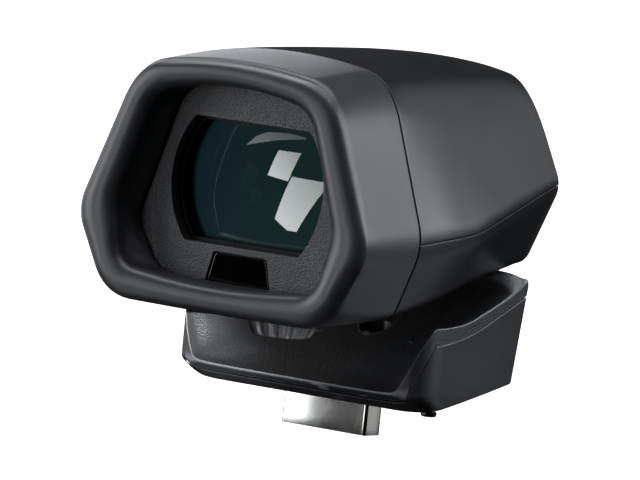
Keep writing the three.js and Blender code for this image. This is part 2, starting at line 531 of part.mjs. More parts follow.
// plan outline of the base at height z
function baseRing(z) {
  const grow = curve([[-3.9, -2.1], [-2.9, -1.4], [-2.2, -0.8], [-0.7, -0.2], [0.6, 0], [22, 0]])(z);
  const rf = curve([[-3.7, 7.4], [-2.9, 7.2], [-0.7, 7], [0.6, 6.8], [12.5, 6.8], [22, 6.8]])(z);
  const yf = curve([[-3.9, -12.4], [-2.9, -13.9], [-2.2, -14.9], [-0.7, -16.8], [0.3, -17.8], [0.9, -18], [22, -18]])(z);
  const rr = 1.3;
  const yr = 15.95 + 0.1775 * (z - 2.74);
  const w0 = sideX(yf) + grow, w1 = sideX(yr) + grow * 0.5;
  const V = (x, y) => new THREE.Vector2(x, y);
  const F = V(w0, yf), R = V(w1, yr);
  const toward = (a, b, d) => a.clone().add(b.clone().sub(a).setLength(d));
  const bez = (a, c, b, n) => Array.from({ length: n + 1 }, (_, i) => {
    const s = i / n;
    return a.clone().multiplyScalar((1 - s) ** 2).add(c.clone().multiplyScalar(2 * s * (1 - s))).add(b.clone().multiplyScalar(s * s));
  });
  const right = [...bez(V(w0 - rf, yf), F, toward(F, R, rf), 6), ...bez(toward(R, F, rr), R, V(w1 - rr, yr), 4)];
  const ring = [...right, ...right.map((p) => V(-p.x, p.y)).reverse()];
  return ring.map((p) => new THREE.Vector3(p.x, p.y, z));
}

{
  const block = loft([-3.9, -2.9, -2.2, -0.7, 0.3, 0.9, 3, 12.5, 22].map(baseRing));
  const underside = prismX([[-40, -7.1], [40, 5.7], [40, -30], [-40, -30]], -40, 40);
  const xs = [-34, -28.5, -26.4, -24.6, -23, -21.2, -19, -16, -11, -5.5, 0, 5.5, 11, 16, 19, 21.2, 23, 24.6, 26.4, 28.5, 34];
  const ysTop = [-20, -18.9, -17.6, -16.5, -15.3, -14, -12.6, -10.5, -7.5, -3, 1.5, 5, 8, 10.5, 12.54, 12.9, 13.6, 15.49, 16.8, 17.7, 18.2, 18.44, 20];
  const ysPart = [-20, -18.1, -16.8, -15.2, -13.8, -12, -9.5, -6.5, -2.5, 2.5, 7, 12, 18.5, 20];
  const over = aboveField(saddle, xs, ysTop, 40);
  const whole = block.subtract(underside).subtract(over);
  const overPart = aboveField(parting, xs, ysPart, 40, 0.12);
  const overPartLow = aboveField(parting, xs, ysPart, 40, -0.12);

  let cover = whole.intersect(overPart);
  let lower = whole.subtract(overPartLow);

  // room for the knuckle between the cheeks, and the pin bore
  const room = cylX(KNUCKLE_R + 0.4, -CHEEK_IN, CHEEK_IN, PIVOT_Y, PIVOT_Z, 28).add(box(-CHEEK_IN, CHEEK_IN, PIVOT_Y - 3.6, PIVOT_Y + 6, PIVOT_Z - 0.6, 30));
  cover = cover.subtract(room).subtract(cylX(PIN_R + 0.2, -19.3, 19.3, PIVOT_Y, PIVOT_Z, 20));
  lower = lower.subtract(room);

  // captive screw: counterbore through the saddle, clear hole through the lower shell
  cover = cover.add(cylZ(5.0, 4.6, 14, 0, SCREW_Y, 28).intersect(whole));
  cover = cover.subtract(cylZ(4.0, 5.5, 30, 0, SCREW_Y, 28)).subtract(cylZ(1.9, -5, 30, 0, SCREW_Y, 20));
  lower = lower.subtract(cylZ(5.35, 4.3, 30, 0, SCREW_Y, 28));

  // tray for the connector board
  const tray = prismX([[-11.5, -11.5 * SLOPE + 1.2], [10.8, 10.8 * SLOPE + 1.2], [10.8, 12], [-3, 12], [-11.5, 3]], -17.5, 17.5);
  lower = lower.subtract(tray);
  lower = lower.add(cylZ(3.0, -1, 3.4, 0, SCREW_Y, 24).subtract(underside)).subtract(cylZ(1.9, -5, 12, 0, SCREW_Y, 20));

  // seat of the plug
  lower = lower.subtract(prismZ(rounded(PLUG_HALF + 0.3, PLUG_Y0 - 0.3, PLUG_Y1 + 0.3, 0.8), -6, 6));

  // screws between cover and lower shell
  [[20.6, -8.6], [-20.6, -8.6], [19.2, 9.5], [-19.2, 9.5]].forEach(([x, y], i) => {
    const z0 = y * SLOPE;
    lower = lower.subtract(cylZ(1.1, z0 - 4, 30, x, y, 16)).subtract(cylZ(1.75, z0 - 4, z0 + 1.15, x, y, 16));
    const zt = Math.min(saddle(x, y) - 0.8, parting(x, y) + 3.2);
    cover = cover.subtract(cylZ(1.1, z0 - 4, zt, x, y, 16));
    add(`base_screw_${i + 1}`, cylZ(0.8, z0 + 0.75, zt - 0.3, x, y, 12).add(cylZ(1.4, z0 + 0.1, z0 + 0.85, x, y, 12)), darkSteel);
  });

  // locating pins, pressed into the underside
  [['locating_pin_front', 24.92, -10.32], ['locating_pin_rear', -19.6, 4.2]].forEach(([name, x, y]) => {
    const z = y * SLOPE;
    lower = lower.subtract(cylZ(LOCATOR_R - 0.25 + 0.3, z - 3, z + 1.6, x, y, 16));
    const pts = [[0, z + 1.3], [LOCATOR_R - 0.25, z + 1.3], [LOCATOR_R - 0.25, z - 0.55], [LOCATOR_R, z - 0.75], [LOCATOR_R, z - 1.33], [LOCATOR_R - 0.3, z - 1.58], [0, z - 1.58]];
    add(name, solidOf(new THREE.LatheGeometry(pts.map(([r, h]) => new THREE.Vector2(r, h)), 20).rotateX(Math.PI / 2).translate(x, y, 0)), gloss);
  });

  add('base_cover', cover.simplify(0.012), grained);
  add('base_lower', lower.simplify(0.012), shellPaint);
}

function rounded(half, y0, y1, r, n = 4) {
  const pts = [];
  const corner = (cx, cy, a0) => {
    for (let i = 0; i <= n; i++) {
      const a = a0 + (Math.PI / 2) * (i / n);
      pts.push([cx + r * Math.cos(a), cy + r * Math.sin(a)]);
    }
  };
  corner(half - r, y1 - r, 0);
  corner(-half + r, y1 - r, Math.PI / 2);
  corner(-half + r, y0 + r, Math.PI);
  corner(half - r, y0 + r, (3 * Math.PI) / 2);
  return pts;
}

// ---------------------------------------------------------------- plug

{
  const shell = prismZ(rounded(PLUG_HALF, PLUG_Y0, PLUG_Y1, 0.55), PLUG_BOTTOM_Z, -0.1)
    .subtract(prismZ(rounded(PLUG_HALF - PLUG_T, PLUG_Y0 + PLUG_T, PLUG_Y1 - PLUG_T, 0.3), PLUG_BOTTOM_Z - 1, 2));
  add('plug_shell', shell, polished);
  const g = PLUG_T + 0.25;
  let core = prismZ(rounded(PLUG_HALF - g, PLUG_Y0 + g, PLUG_Y1 - g, 0.28), PLUG_BOTTOM_Z + 0.5, 0.0)
    .subtract(box(-7.2, 7.2, -6.15, -4.97, PLUG_BOTTOM_Z - 1, -1.4));
  for (const [name, y0, y1, lip] of [['contact_row_front', -6.75, -6.35, 0.3], ['contact_row_rear', -4.77, -4.37, 0.3]]) {
    let comb = box(-6.9, 6.9, y0, y1, -0.8, 0.0);
    for (let i = 0; i < 9; i++) {
      const x = -6.4 + (12.8 * i) / 8;
      comb = comb.add(box(x - 0.35, x + 0.35, y0, y1, PLUG_BOTTOM_Z + 1.4, -0.4));
    }
    core = core.subtract(box(-7.2, 7.2, y0 - 0.25, y1 + 0.25, PLUG_BOTTOM_Z + 1.1, 2));
    add(name, comb, contactMetal);
  }
  add('plug_insulator', core, blackPlastic);
}

// ---------------------------------------------------------------- base internals

{
  const h = (y, lift) => y * SLOPE + lift;
  add('connector_board', prismX([[-7.4, h(-7.4, 1.5)], [2.4, h(2.4, 1.5)], [2.4, h(2.4, 2.05)], [-7.4, h(-7.4, 2.05)]], -12.5, 12.5), board);
  const shank = cylZ(1.45, -3.9, 6.6, 0, SCREW_Y, 20).add(cylZ(3.5, 5.8, 8.4, 0, SCREW_Y, 28));
  const groove = cylZ(2.2, 3.75, 4.3, 0, SCREW_Y, 20).subtract(cylZ(1.1, 3, 5, 0, SCREW_Y, 20));
  add('captive_screw', shank.subtract(groove).subtract(box(-4, 4, SCREW_Y - 0.45, SCREW_Y + 0.45, 7.2, 9)), steel);
  add('screw_retainer', cylZ(2.6, 3.85, 4.2, 0, SCREW_Y, 20).subtract(cylZ(1.3, 3, 5, 0, SCREW_Y, 20)).subtract(box(-0.9, 0.9, SCREW_Y, SCREW_Y + 4, 3, 5)), darkSteel);
}

export default part;
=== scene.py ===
import math

import bmesh
import bpy
import numpy as np
from mathutils import Matrix, Vector
from mathutils.geometry import tessellate_polygon


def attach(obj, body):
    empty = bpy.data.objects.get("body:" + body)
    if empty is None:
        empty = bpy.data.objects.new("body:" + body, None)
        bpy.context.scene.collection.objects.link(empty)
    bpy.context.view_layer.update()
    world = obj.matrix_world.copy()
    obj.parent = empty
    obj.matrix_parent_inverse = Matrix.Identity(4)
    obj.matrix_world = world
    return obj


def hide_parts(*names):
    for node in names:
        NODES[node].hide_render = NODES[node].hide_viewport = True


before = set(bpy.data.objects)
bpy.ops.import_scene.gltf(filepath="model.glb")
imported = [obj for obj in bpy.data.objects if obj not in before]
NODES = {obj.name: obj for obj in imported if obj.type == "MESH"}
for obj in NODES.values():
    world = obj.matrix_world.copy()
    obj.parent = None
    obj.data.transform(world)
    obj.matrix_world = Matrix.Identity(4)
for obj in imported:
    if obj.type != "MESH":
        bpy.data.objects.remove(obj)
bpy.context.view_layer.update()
MM = 0.001

# ------------------------------------------------------------------ sizes, in millimetres

RIM_Y, SEAM_Y, FACE_Y, BODY_END_Y, REAR_R = -44.5, -26.7, -36.85, 20.4, 3.0
LENS_Z, OPENING_R, OPENING_CLIP = 34.59, 16.82, 11.04
DIAL_Y, DIAL_BOTTOM, DIAL_TOP, DIAL_R_TOP, DIAL_R_BOTTOM, DIAL_RIBS = -22.78, 7.84, 12.2, 7.4, 5.3, 14
PIVOT_Y, PIVOT_Z, KNUCKLE_R = 15.49, 18.74, 2.95
SLOPE, BASE_FRONT_Y = 0.175, -14.95
PLUG_HALF, PLUG_Y0, PLUG_Y1, PLUG_BOTTOM, PLUG_T = 9.5, -7.92, -3.2, -9.1, 0.45
RAISE = 0.7                      # drawn with the underside 0.7 under z = 0, then lifted onto the origin
SCREW_Y = 6.5
LOCATOR_R = 1.42

# ------------------------------------------------------------------ mesh helpers


def link(obj):
    bpy.context.scene.collection.objects.link(obj)
    return obj


def mesh_object(name, verts, faces, sharp=None):
    """verts in millimetres"""
    me = bpy.data.meshes.new(name)
    me.from_pydata([tuple(v) for v in (np.asarray(verts, float) * MM)], [], faces)
    me.validate()
    bm = bmesh.new()
    bm.from_mesh(me)
    bmesh.ops.remove_doubles(bm, verts=bm.verts, dist=1.5e-7)
    bmesh.ops.recalc_face_normals(bm, faces=bm.faces)
    bm.to_mesh(me)
    bm.free()
    finish_mesh(me, sharp)
    return link(bpy.data.objects.new(name, me))


def finish_mesh(me, sharp=None):
    me.shade_smooth()
    if sharp:
        me.set_sharp_from_angle(angle=math.radians(sharp))


def grid_faces(nj, ni, wrap_i=False, wrap_j=False):
    faces = []
    for j in range(nj if wrap_j else nj - 1):
        j2 = (j + 1) % nj
        for i in range(ni if wrap_i else ni - 1):
            i2 = (i + 1) % ni
            faces.append((j * ni + i, j * ni + i2, j2 * ni + i2, j2 * ni + i))
    return faces


def rows_object(name, rows, wrap_i=True, wrap_j=False, cap0=False, cap1=False, sharp=None):
    """rows: list of (n, 3) arrays of equal length"""
    P = np.array(rows, float)
    nj, ni, _ = P.shape
    faces = grid_faces(nj, ni, wrap_i, wrap_j)
    verts = P.reshape(-1, 3)
    if cap0:
        faces.append(tuple(range(ni)))
    if cap1:
        faces.append(tuple(range((nj - 1) * ni, nj * ni)))
    return mesh_object(name, verts, faces, sharp)


def lathe(name, profile, axis="Z", at=(0, 0, 0), n=96, sharp=35, tube=False):
    """profile: list of (radius, height), from axis to axis; a tube's profile closes on itself instead"""
    prof = np.array(profile, float)
    a = np.linspace(0, 2 * math.pi, n, endpoint=False)
    rows = []
    for r, h in prof:
        r = max(r, 1e-4)
        c, s = r * np.cos(a), r * np.sin(a)
        if axis == "Z":
            rows.append(np.stack([c, s, np.full(n, h)], 1))
        elif axis == "Y":
            rows.append(np.stack([c, np.full(n, h), -s], 1))
        else:
            rows.append(np.stack([np.full(n, h), c, s], 1))
    rows = [r + np.array(at) for r in rows]
    if tube:
        return rows_object(name, rows, wrap_j=True, sharp=sharp)
    return rows_object(name, rows, cap0=True, cap1=True, sharp=sharp)


def boolean(obj, cutter, op="DIFFERENCE", sharp=35):
    m = obj.modifiers.new("cut", "BOOLEAN")
    m.operation, m.solver, m.object = op, "EXACT", cutter
    bpy.context.view_layer.update()
    dg = bpy.context.evaluated_depsgraph_get()
    me = bpy.data.meshes.new_from_object(obj.evaluated_get(dg))
    obj.modifiers.clear()
    old = obj.data
    obj.data = me
    bpy.data.meshes.remove(old)
    finish_mesh(me, sharp)
    bpy.data.objects.remove(cutter)
    return obj


def apply_modifiers(obj, sharp=None):
    bpy.context.view_layer.update()
    dg = bpy.context.evaluated_depsgraph_get()
    me = bpy.data.meshes.new_from_object(obj.evaluated_get(dg))
    obj.modifiers.clear()
    old = obj.data
    obj.data = me
    bpy.data.meshes.remove(old)
    finish_mesh(me, sharp)
    return obj


def bevel(obj, width, segments=2, angle=40, sharp=40):
    m = obj.modifiers.new("edge", "BEVEL")
    m.width, m.segments, m.limit_method, m.angle_limit = width * MM, segments, "ANGLE", math.radians(angle)
    m.harden_normals = False
    m.use_clamp_overlap = True
    return apply_modifiers(obj, sharp)


def signed_area(loop):
    x, y = loop[:, 0], loop[:, 1]
    return 0.5 * float(np.sum(x * np.roll(y, -1) - np.roll(x, -1) * y))


def spaced(loop, least):
    """drops points of a closed loop that lie closer than this to the one before"""
    kept = [loop[0]]
    for q in loop[1:]:
        if np.linalg.norm(q - kept[-1]) > least:
            kept.append(q)
    if np.linalg.norm(kept[-1] - kept[0]) < least:
        kept.pop()
    return np.array(kept)


def inset_loop(loop, d):
    """moves a closed counter-clockwise loop inwards by d, mitred at the corners"""
    a = loop - np.roll(loop, 1, 0)
    b = np.roll(loop, -1, 0) - loop
    a /= np.linalg.norm(a, axis=1)[:, None]
    b /= np.linalg.norm(b, axis=1)[:, None]
    na, nb = np.stack([-a[:, 1], a[:, 0]], 1), np.stack([-b[:, 1], b[:, 0]], 1)
    m = na + nb
    m /= np.maximum(np.sum(m * nb, 1), 0.3)[:, None]
    return loop + m * d


def extruded(name, loops, a0, a1, plane="XZ", edge=0.1, segments=3, sharp=40):
    """a plate with holes and rounded edges: the first loop is the outline; plane XZ runs along Y, plane XY along Z"""
    steps = [(math.sin(t) if t < 99 else 1, 1 - math.cos(t)) for t in np.linspace(0, math.pi / 2, segments + 2)]
    verts, faces = [], []
    flats = {0: [], 1: []}
    for k, loop in enumerate(loops):
        loop = spaced(np.array(loop, float), 0.04)
        if (signed_area(loop) > 0) != (k == 0):
            loop = loop[::-1]
        n = len(loop)
        rows_ = []  # (inset, position)
        e = edge
        if e > 0:
            rows_.append((e * 1.7, a0))
            for sn, cs in steps:
                rows_.append((e * (1 - sn), a0 + e * cs))
            for sn, cs in steps[::-1]:
                rows_.append((e * (1 - sn), a1 - e * cs))
            rows_.append((e * 1.7, a1))
        else:
            rows_ = [(0, a0), (0, a1)]
        base = len(verts)
        for ins, pos in rows_:
            for u, v in inset_loop(loop, ins):
                verts.append((u, v, pos))
        for j in range(len(rows_) - 1):
            for i in range(n):
                i2 = (i + 1) % n
                faces.append((base + j * n + i, base + j * n + i2, base + (j + 1) * n + i2, base + (j + 1) * n + i))
        flats[0].append(range(base, base + n))
        flats[1].append(range(base + (len(rows_) - 1) * n, base + len(rows_) * n))
    for side in (0, 1):
        polys = [[Vector((verts[i][0], verts[i][1], 0)) for i in rng] for rng in flats[side]]
        flat = [i for rng in flats[side] for i in rng]
        for tri in tessellate_polygon(polys):
            faces.append(tuple(flat[i] for i in tri))
    out = [(u, pos, v) if plane == "XZ" else (u, v, pos) for u, v, pos in verts]
    return mesh_object(name, out, faces, sharp)


def join(name, objs):
    bm = bmesh.new()
    for o in objs:
        bm.from_mesh(o.data)
    me = bpy.data.meshes.new(name)
    bm.to_mesh(me)
    bm.free()
    for o in objs:
        bpy.data.objects.remove(o)
    finish_mesh(me, 35)
    return link(bpy.data.objects.new(name, me))


def box_mesh(name, x0, x1, y0, y1, z0, z1, edge=0.0):
    v = [(x, y, z) for x in (x0, x1) for y in (y0, y1) for z in (z0, z1)]
    f = [(0, 1, 3, 2), (4, 6, 7, 5), (0, 4, 5, 1), (2, 3, 7, 6), (0, 2, 6, 4), (1, 5, 7, 3)]
    o = mesh_object(name, v, f)
    if edge:
        bevel(o, edge, 3)
    return o


def cyl(name, r, h0, h1, axis="Z", at=(0, 0, 0), n=64, edge=0.0):
    if edge:
        e = edge
        prof = [(0, h0), (r - e, h0), (r - 0.4 * e, h0 + 0.12 * e), (r - 0.12 * e, h0 + 0.4 * e), (r, h0 + e), (r, h1 - e), (r - 0.12 * e, h1 - 0.4 * e), (r - 0.4 * e, h1 - 0.12 * e), (r - e, h1), (0, h1)]
    else:
        prof = [(0, h0), (r, h0), (r, h1), (0, h1)]
    return lathe(name, prof, axis, at, n)


# ------------------------------------------------------------------ smooth tables


def curve(table):
    """monotone cubic through (t, value) pairs, for numbers and arrays"""
    t = np.array([p[0] for p in table], float)
    v = np.array([p[1] for p in table], float)
    d = np.diff(v) / np.diff(t)
    m = np.zeros(len(t))
    m[0], m[-1] = d[0], d[-1]
    for i in range(1, len(t) - 1):
        if d[i - 1] * d[i] > 0:
            w1 = 2 * (t[i + 1] - t[i]) + (t[i] - t[i - 1])
            w2 = (t[i + 1] - t[i]) + 2 * (t[i] - t[i - 1])
            m[i] = (w1 + w2) / (w1 / d[i - 1] + w2 / d[i])

    def f(x):
        x = np.asarray(x, float)
        i = np.clip(np.searchsorted(t, x, side="right") - 1, 0, len(t) - 2)
        h = t[i + 1] - t[i]
        s = (x - t[i]) / h
        inside = v[i] * (2 * s**3 - 3 * s**2 + 1) + m[i] * h * (s**3 - 2 * s**2 + s) + v[i + 1] * (3 * s**2 - 2 * s**3) + m[i + 1] * h * (s**3 - s**2)
        low = v[0] + m[0] * (x - t[0])
        high = v[-1] + m[-1] * (x - t[-1])
        return np.where(x <= t[0], low, np.where(x >= t[-1], high, inside))

    return f


# ------------------------------------------------------------------ head sections

HEAD = [
    (-44.5, 56.35, 21.69, 54.21, 7.15, 32.72, 26.57, 3.81, 24.65, 12.09, 5.73, 11.90),
    (-26.7, 58.44, 21.73, 56.13, 8.13, 32.13, 28.03, 4.11, 27.04, 14.53, 2.05, 12.75),
    (-18.0, 58.86, 20.94, 56.44, 9.46, 32.45, 29.02, 3.97, 26.82, 16.14, 2.35, 15.00),
    (-10.7, 58.99, 20.09, 56.54, 10.37, 32.13, 29.85, 3.85, 25.87, 17.49, 2.79, 16.88),
    (0.0, 59.06, 18.59, 56.51, 11.03, 30.47, 32.57, 3.47, 23.40, 19.46, 2.86, 19.20),
    (10.0, 58.79, 17.96, 56.39, 11.29, 28.24, 35.11, 3.11, 21.52, 21.06, 2.72, 20.98),
    (18.0, 58.19, 17.06, 55.99, 11.21, 26.47, 37.15, 2.78, 19.98, 22.33, 2.57, 22.31),
    (20.4, 57.88, 16.65, 55.73, 11.05, 25.92, 37.76, 2.64, 19.52, 22.71, 2.38, 22.70),
]
HEAD_CURVES = [curve([(row[0], row[k]) for row in HEAD]) for k in range(1, 12)]


def head(y):
    return np.array([float(f(y)) for f in HEAD_CURVES])


RIM_INNER = np.array([51.92, 17.28, 49.69, 4.60, 24.35, 29.13, 3.00, 21.79, 18.25, 3.60, 16.79])
FUNNEL_END = np.array([51.65, 15.39, 50.79, 4.40, 23.26, 25.94, 2.80, 17.44, 17.45, 3.20, 17.01])

N_TOP, N_LINE, N_CORNER, N_SIDE_LINE, N_SIDE, N_LOW_LINE, N_LOW, N_BOTTOM = 14, 3, 18, 10, 16, 7, 14, 14
SIDE_MID = N_TOP + N_LINE + N_CORNER + N_SIDE_LINE + N_SIDE // 2  # index of the side vertex in the half ring


def half_section(p, side=(0.0, 1.0)):
    """right half of a section from the top centre to the bottom centre, as (x, z)"""
    zt, xt, ztc, dt, xs, zs, ds, xb, zb, db, zc = p
    share = 0.72
    top = np.array([0, ztc + (zt - ztc) / (1 - share / 2)])
    bot = np.array([0, zb + (zc - zb) / (1 - share / 2)])
    T, S, B = np.array([xt, ztc]), np.array([xs, zs]), np.array([xb, zb])

    def along(a, b, d):
        return a + (b - a) / np.linalg.norm(b - a) * d

    def bez(a, c, b, s):
        s = np.asarray(s)[:, None]
        return a * (1 - s) ** 2 + c * 2 * s * (1 - s) + b * s * s

    def lin(a, b, n):
        s = (np.arange(1, n + 1) / n)[:, None]
        return a * (1 - s) + b * s

    dT, dB = np.linalg.norm(T - top) * share, np.linalg.norm(B - bot) * share
    dt1 = min(dt, np.linalg.norm(T - top) - dT - 0.02)
    db1 = min(db, np.linalg.norm(B - bot) - dB - 0.02)
    mirror = np.array([-1, 1])
    t1 = along(top, T, dT)
    c0, c1 = along(T, top, dt1), along(T, S, dt)
    s0, s1 = along(S, T, ds), along(S, B, ds)
    l0, l1 = along(B, S, db), along(B, bot, db1)
    b0 = along(bot, B, dB)
    pts = [bez(t1 * mirror, top, t1, 0.5 + 0.5 * np.arange(0, N_TOP + 1) / N_TOP)]
    pts.append(lin(t1, c0, N_LINE))
    pts.append(bez(c0, T, c1, np.arange(1, N_CORNER + 1) / N_CORNER))
    pts.append(lin(c1, s0, N_SIDE_LINE))
    pts.append(bez(s0, S, s1, np.arange(1, N_SIDE + 1) / N_SIDE))
    pts.append(lin(s1, l0, N_LOW_LINE))
    pts.append(bez(l0, B, l1, np.arange(1, N_LOW + 1) / N_LOW))
    pts.append(lin(l1, b0, N_LINE))
    pts.append(bez(b0, bot, b0 * mirror, 0.5 * np.arange(1, N_BOTTOM + 1) / N_BOTTOM))
    return np.concatenate(pts)


def full_ring(p, y, offset=0.0):
    """closed ring, clockwise seen from the front, starting at the top centre"""
    h = half_section(p)
    ring = np.concatenate([h, h[1:-1][::-1] * np.array([-1, 1])])
    t = np.roll(ring, -1, 0) - np.roll(ring, 1, 0)
    t /= np.linalg.norm(t, axis=1)[:, None]
    ring = ring + np.stack([-t[:, 1], t[:, 0]], 1) * offset
    return np.stack([ring[:, 0], np.full(len(ring), y), ring[:, 1]], 1)


HALF_N = SIDE_MID + N_SIDE // 2 + N_LOW_LINE + N_LOW + N_LINE + N_BOTTOM + 1
RING_N = 2 * HALF_N - 2


def arc_path(ring, first, last):
    """points of a closed ring from one index to another, wrapping"""
    idx = np.arange(first, last + 1) % len(ring)
    return ring[idx]


# ------------------------------------------------------------------ eyecup

EDGE = 0.16
rows = []
for off, dy in [(-0.9, 0.0), (-EDGE, 0.0), (-EDGE * 0.45, 0.03), (-EDGE * 0.12, 0.08), (0.0, EDGE)]:
    y = SEAM_Y - 0.15 - dy
    rows.append(full_ring(head(y), y, off))
for y in np.linspace(SEAM_Y - 0.6, RIM_Y + 2.3, 16):
    rows.append(full_ring(head(y), y))
for a in np.radians(np.linspace(6, 180, 30)):
    s = (1 - math.cos(a)) / 2
    rows.append(full_ring(head(RIM_Y) * (1 - s) + RIM_INNER * s, RIM_Y + 2.3 * (1 - math.sin(a))))
for t in np.linspace(0.06, 1, 18):
    u = (1 - t) ** 3 * 0 + 3 * (1 - t) ** 2 * t * 0.0 + 3 * (1 - t) * t * t * 0.76 + t**3
    y = (1 - t) ** 3 * (RIM_Y + 2.3) + 3 * (1 - t) ** 2 * t * (RIM_Y + 3.9) + 3 * (1 - t) * t * t * (FACE_Y - 2.0) + t**3 * (FACE_Y - 0.75)
    rows.append(full_ring(RIM_INNER * (1 - u) + FUNNEL_END * u, y))
for dy, off in [(0.6, -0.02), (0.45, 0.0), (0.36, 0.1), (0.3, 0.3)]:
    rows.append(full_ring(FUNNEL_END, FACE_Y - dy, off))
rows.append(full_ring(head(FACE_Y - 0.3), FACE_Y - 0.3, -1.8))
for y in (-33, -30, SEAM_Y - 0.15):
    rows.append(full_ring(head(y), y, -1.8))
eyecup = rows_object("eyecup_rubber", rows, wrap_j=True, sharp=50)

# ------------------------------------------------------------------ body shells


WALL, SEAM_GAP, SEAM_EDGE = 1.3, 0.07, 0.13


def walled_loop(y, offset, y_in, offset_in, first, last, target=None, s=0.0):
    """one closed loop round the wall of a shell: its outer side, a rounded seam edge, its inner side and the other edge"""
    ring, inner = full_ring(head(y), y, offset), full_ring(head(y_in), y_in, offset_in)
    if y > BODY_END_Y:
        ring, inner = full_ring(head(BODY_END_Y), y, offset), full_ring(head(BODY_END_Y), y_in, offset_in)
    out, inn = arc_path(ring, first, last), arc_path(inner, first, last)

    def edge(path, sign):
        a, b = (path[0], path[1]) if sign > 0 else (path[-1], path[-2])
        t = (b - a) / np.linalg.norm(b - a)
        n = np.array([t[2], 0, -t[0]]) * sign  # inwards on a clockwise path
        e = SEAM_EDGE
        return [a + t * (SEAM_GAP + d * e) + n * (o * e) for d, o in ((0.0, 1.0), (0.12, 0.45), (0.45, 0.12), (1.0, 0.0))]

    def trimmed(path, d):
        path = path.copy()
        for i, j in ((0, 1), (-1, -2)):
            t = path[j] - path[i]
            path[i] = path[i] + t / np.linalg.norm(t) * d
        return path

    lead, tail = edge(out, 1)[:3], edge(out, -1)[:3][::-1]
    outer = np.concatenate([lead, trimmed(out, SEAM_GAP + SEAM_EDGE), tail])
    return outer, trimmed(inn, SEAM_GAP)


def shell(name, first, last, up):
    rows_ = []
    front = SEAM_Y + 0.15

    def put(*args):
        o, i = walled_loop(*args, first, last)
        rows_.append(np.concatenate([o, i[::-1]]))
        return o, i

    for off, dy in [(-EDGE, 0.0), (-EDGE * 0.45, 0.12 * EDGE), (-EDGE * 0.12, 0.45 * EDGE), (0.0, EDGE)]:
        put(front + dy, off, front + dy, -WALL)
    for y in np.linspace(front + 0.5, BODY_END_Y, 60):
        put(y, 0.0, y, -WALL)
    for a_ in np.radians(np.linspace(7.5, 90, 14)):
        sa, ca = math.sin(a_), math.cos(a_)
        o, i = put(BODY_END_Y + REAR_R * sa, -REAR_R * (1 - ca), BODY_END_Y + (REAR_R - WALL) * sa, -WALL - (REAR_R - WALL) * (1 - ca))

    def spread_on(path, z, y):
        d = np.concatenate([[0], np.cumsum(np.linalg.norm(np.diff(path, axis=0), axis=1))])
        u = d / d[-1]
        return np.stack([path[0, 0] * (1 - u) + path[-1, 0] * u, np.full(len(path), y), np.full(len(path), z)], 1)

    sg = 1 if up else -1
    z0 = o[0, 2] if up else o[0, 2]
    yo, yi = BODY_END_Y + REAR_R, BODY_END_Y + REAR_R - WALL
    e = SEAM_EDGE
    seam_z = z0 - 0 * sg
    stages = [(t, 1.0, 0.0) for t in np.linspace(0, 1, 12)[1:]] + [(1, 0.45, 0.12), (1, 0.12, 0.45), (1, 0.0, 1.0)]
    for t, dz, dy in stages:
        fo = spread_on(o, seam_z + sg * dz * e, yo)
        fi = spread_on(i, seam_z, yi)
        ro, ri = o * (1 - t) + fo * t, i * (1 - t) + fi * t
        ro[:, 1] = yo - dy * e
        rows_.append(np.concatenate([ro, ri[::-1]]))
    return rows_object(name, rows_, cap0=True, cap1=True, sharp=50)


upper = shell("upper_shell_skin", RING_N - SIDE_MID, RING_N + SIDE_MID, True)
lower = shell("lower_shell_skin", SIDE_MID, RING_N - SIDE_MID, False)
lower_cut = box_mesh("cut", -10.9, 10.9, PIVOT_Y - 2.6, PIVOT_Y + 2.6, 18, 26)
boolean(lower, lower_cut, sharp=50)
boolean(lower, cyl("cut", 2.75, 8, 20, at=(0, DIAL_Y, 0)), sharp=50)
for x, y in ((21.5, -12), (-21.5, -12), (14.6, 17), (-14.6, 17)):
    floor = 17.4 if y < 0 else 22.5
    boolean(lower, cyl("cut", 1.75, 10, floor + 1.1, at=(x, y, 0), n=48), sharp=50)
dial_seat = lathe("dial_seat", [(2.75, 12.75), (2.9, 12.62), (3.6, 12.6), (3.75, 12.75), (3.8, 13.2), (3.8, 14.9), (2.75, 14.9)], at=(0, DIAL_Y, 0), n=72, tube=True)

# ------------------------------------------------------------------ face plate, window, lens ring


def clipped(r, clip, fillet=1.0, n=40):
    """a circle clipped flat above and below, with small rounded corners, as (x, z)"""
    a0 = math.asin(clip / r)
    right = []
    # corner between the arc and the flat
    cx = math.sqrt(max((r - fillet) ** 2 - (clip - fillet) ** 2, 0))
    ang = math.atan2(clip - fillet, cx)
    for i in range(2 * n + 1):
        a = -ang + 2 * ang * i / (2 * n)
        right.append((r * math.cos(a), r * math.sin(a)))
    corner = []
    for i in range(1, 11):
        a = ang + (math.pi / 2 - ang) * i / 10
        corner.append((cx + fillet * math.cos(a), clip - fillet + fillet * math.sin(a)))
    top = [(cx * (1 - 2 * i / 20), clip) for i in range(1, 20)]
    pts = right + corner + top + [(-x, z) for x, z in reversed(corner)]
    pts += [(-x, z) for x, z in reversed(right)] + [(-x, -z) for x, z in corner] + [(-x, -z) for x, z in top] + [(x, -z) for x, z in reversed(corner)]
    return [(x, LENS_Z + z) for x, z in pts]


def polygon(points, radii, n=6):
    """a polygon with rounded corners"""
    out = []
    m = len(points)
    for i, (p, r) in enumerate(zip(points, radii)):
        p = np.array(p, float)
        a, b = np.array(points[i - 1], float), np.array(points[(i + 1) % m], float)
        da, db = (a - p) / np.linalg.norm(a - p), (b - p) / np.linalg.norm(b - p)
        if r <= 0:
            out.append(tuple(p))
            continue
        half = math.acos(np.clip(da @ db, -1, 1)) / 2
        d = r / math.tan(half)
        for k in range(n + 1):
            s = k / n
            q = (p + da * d) * (1 - s) ** 2 + p * 2 * s * (1 - s) + (p + db * d) * s * s
            out.append(tuple(q))
    return out




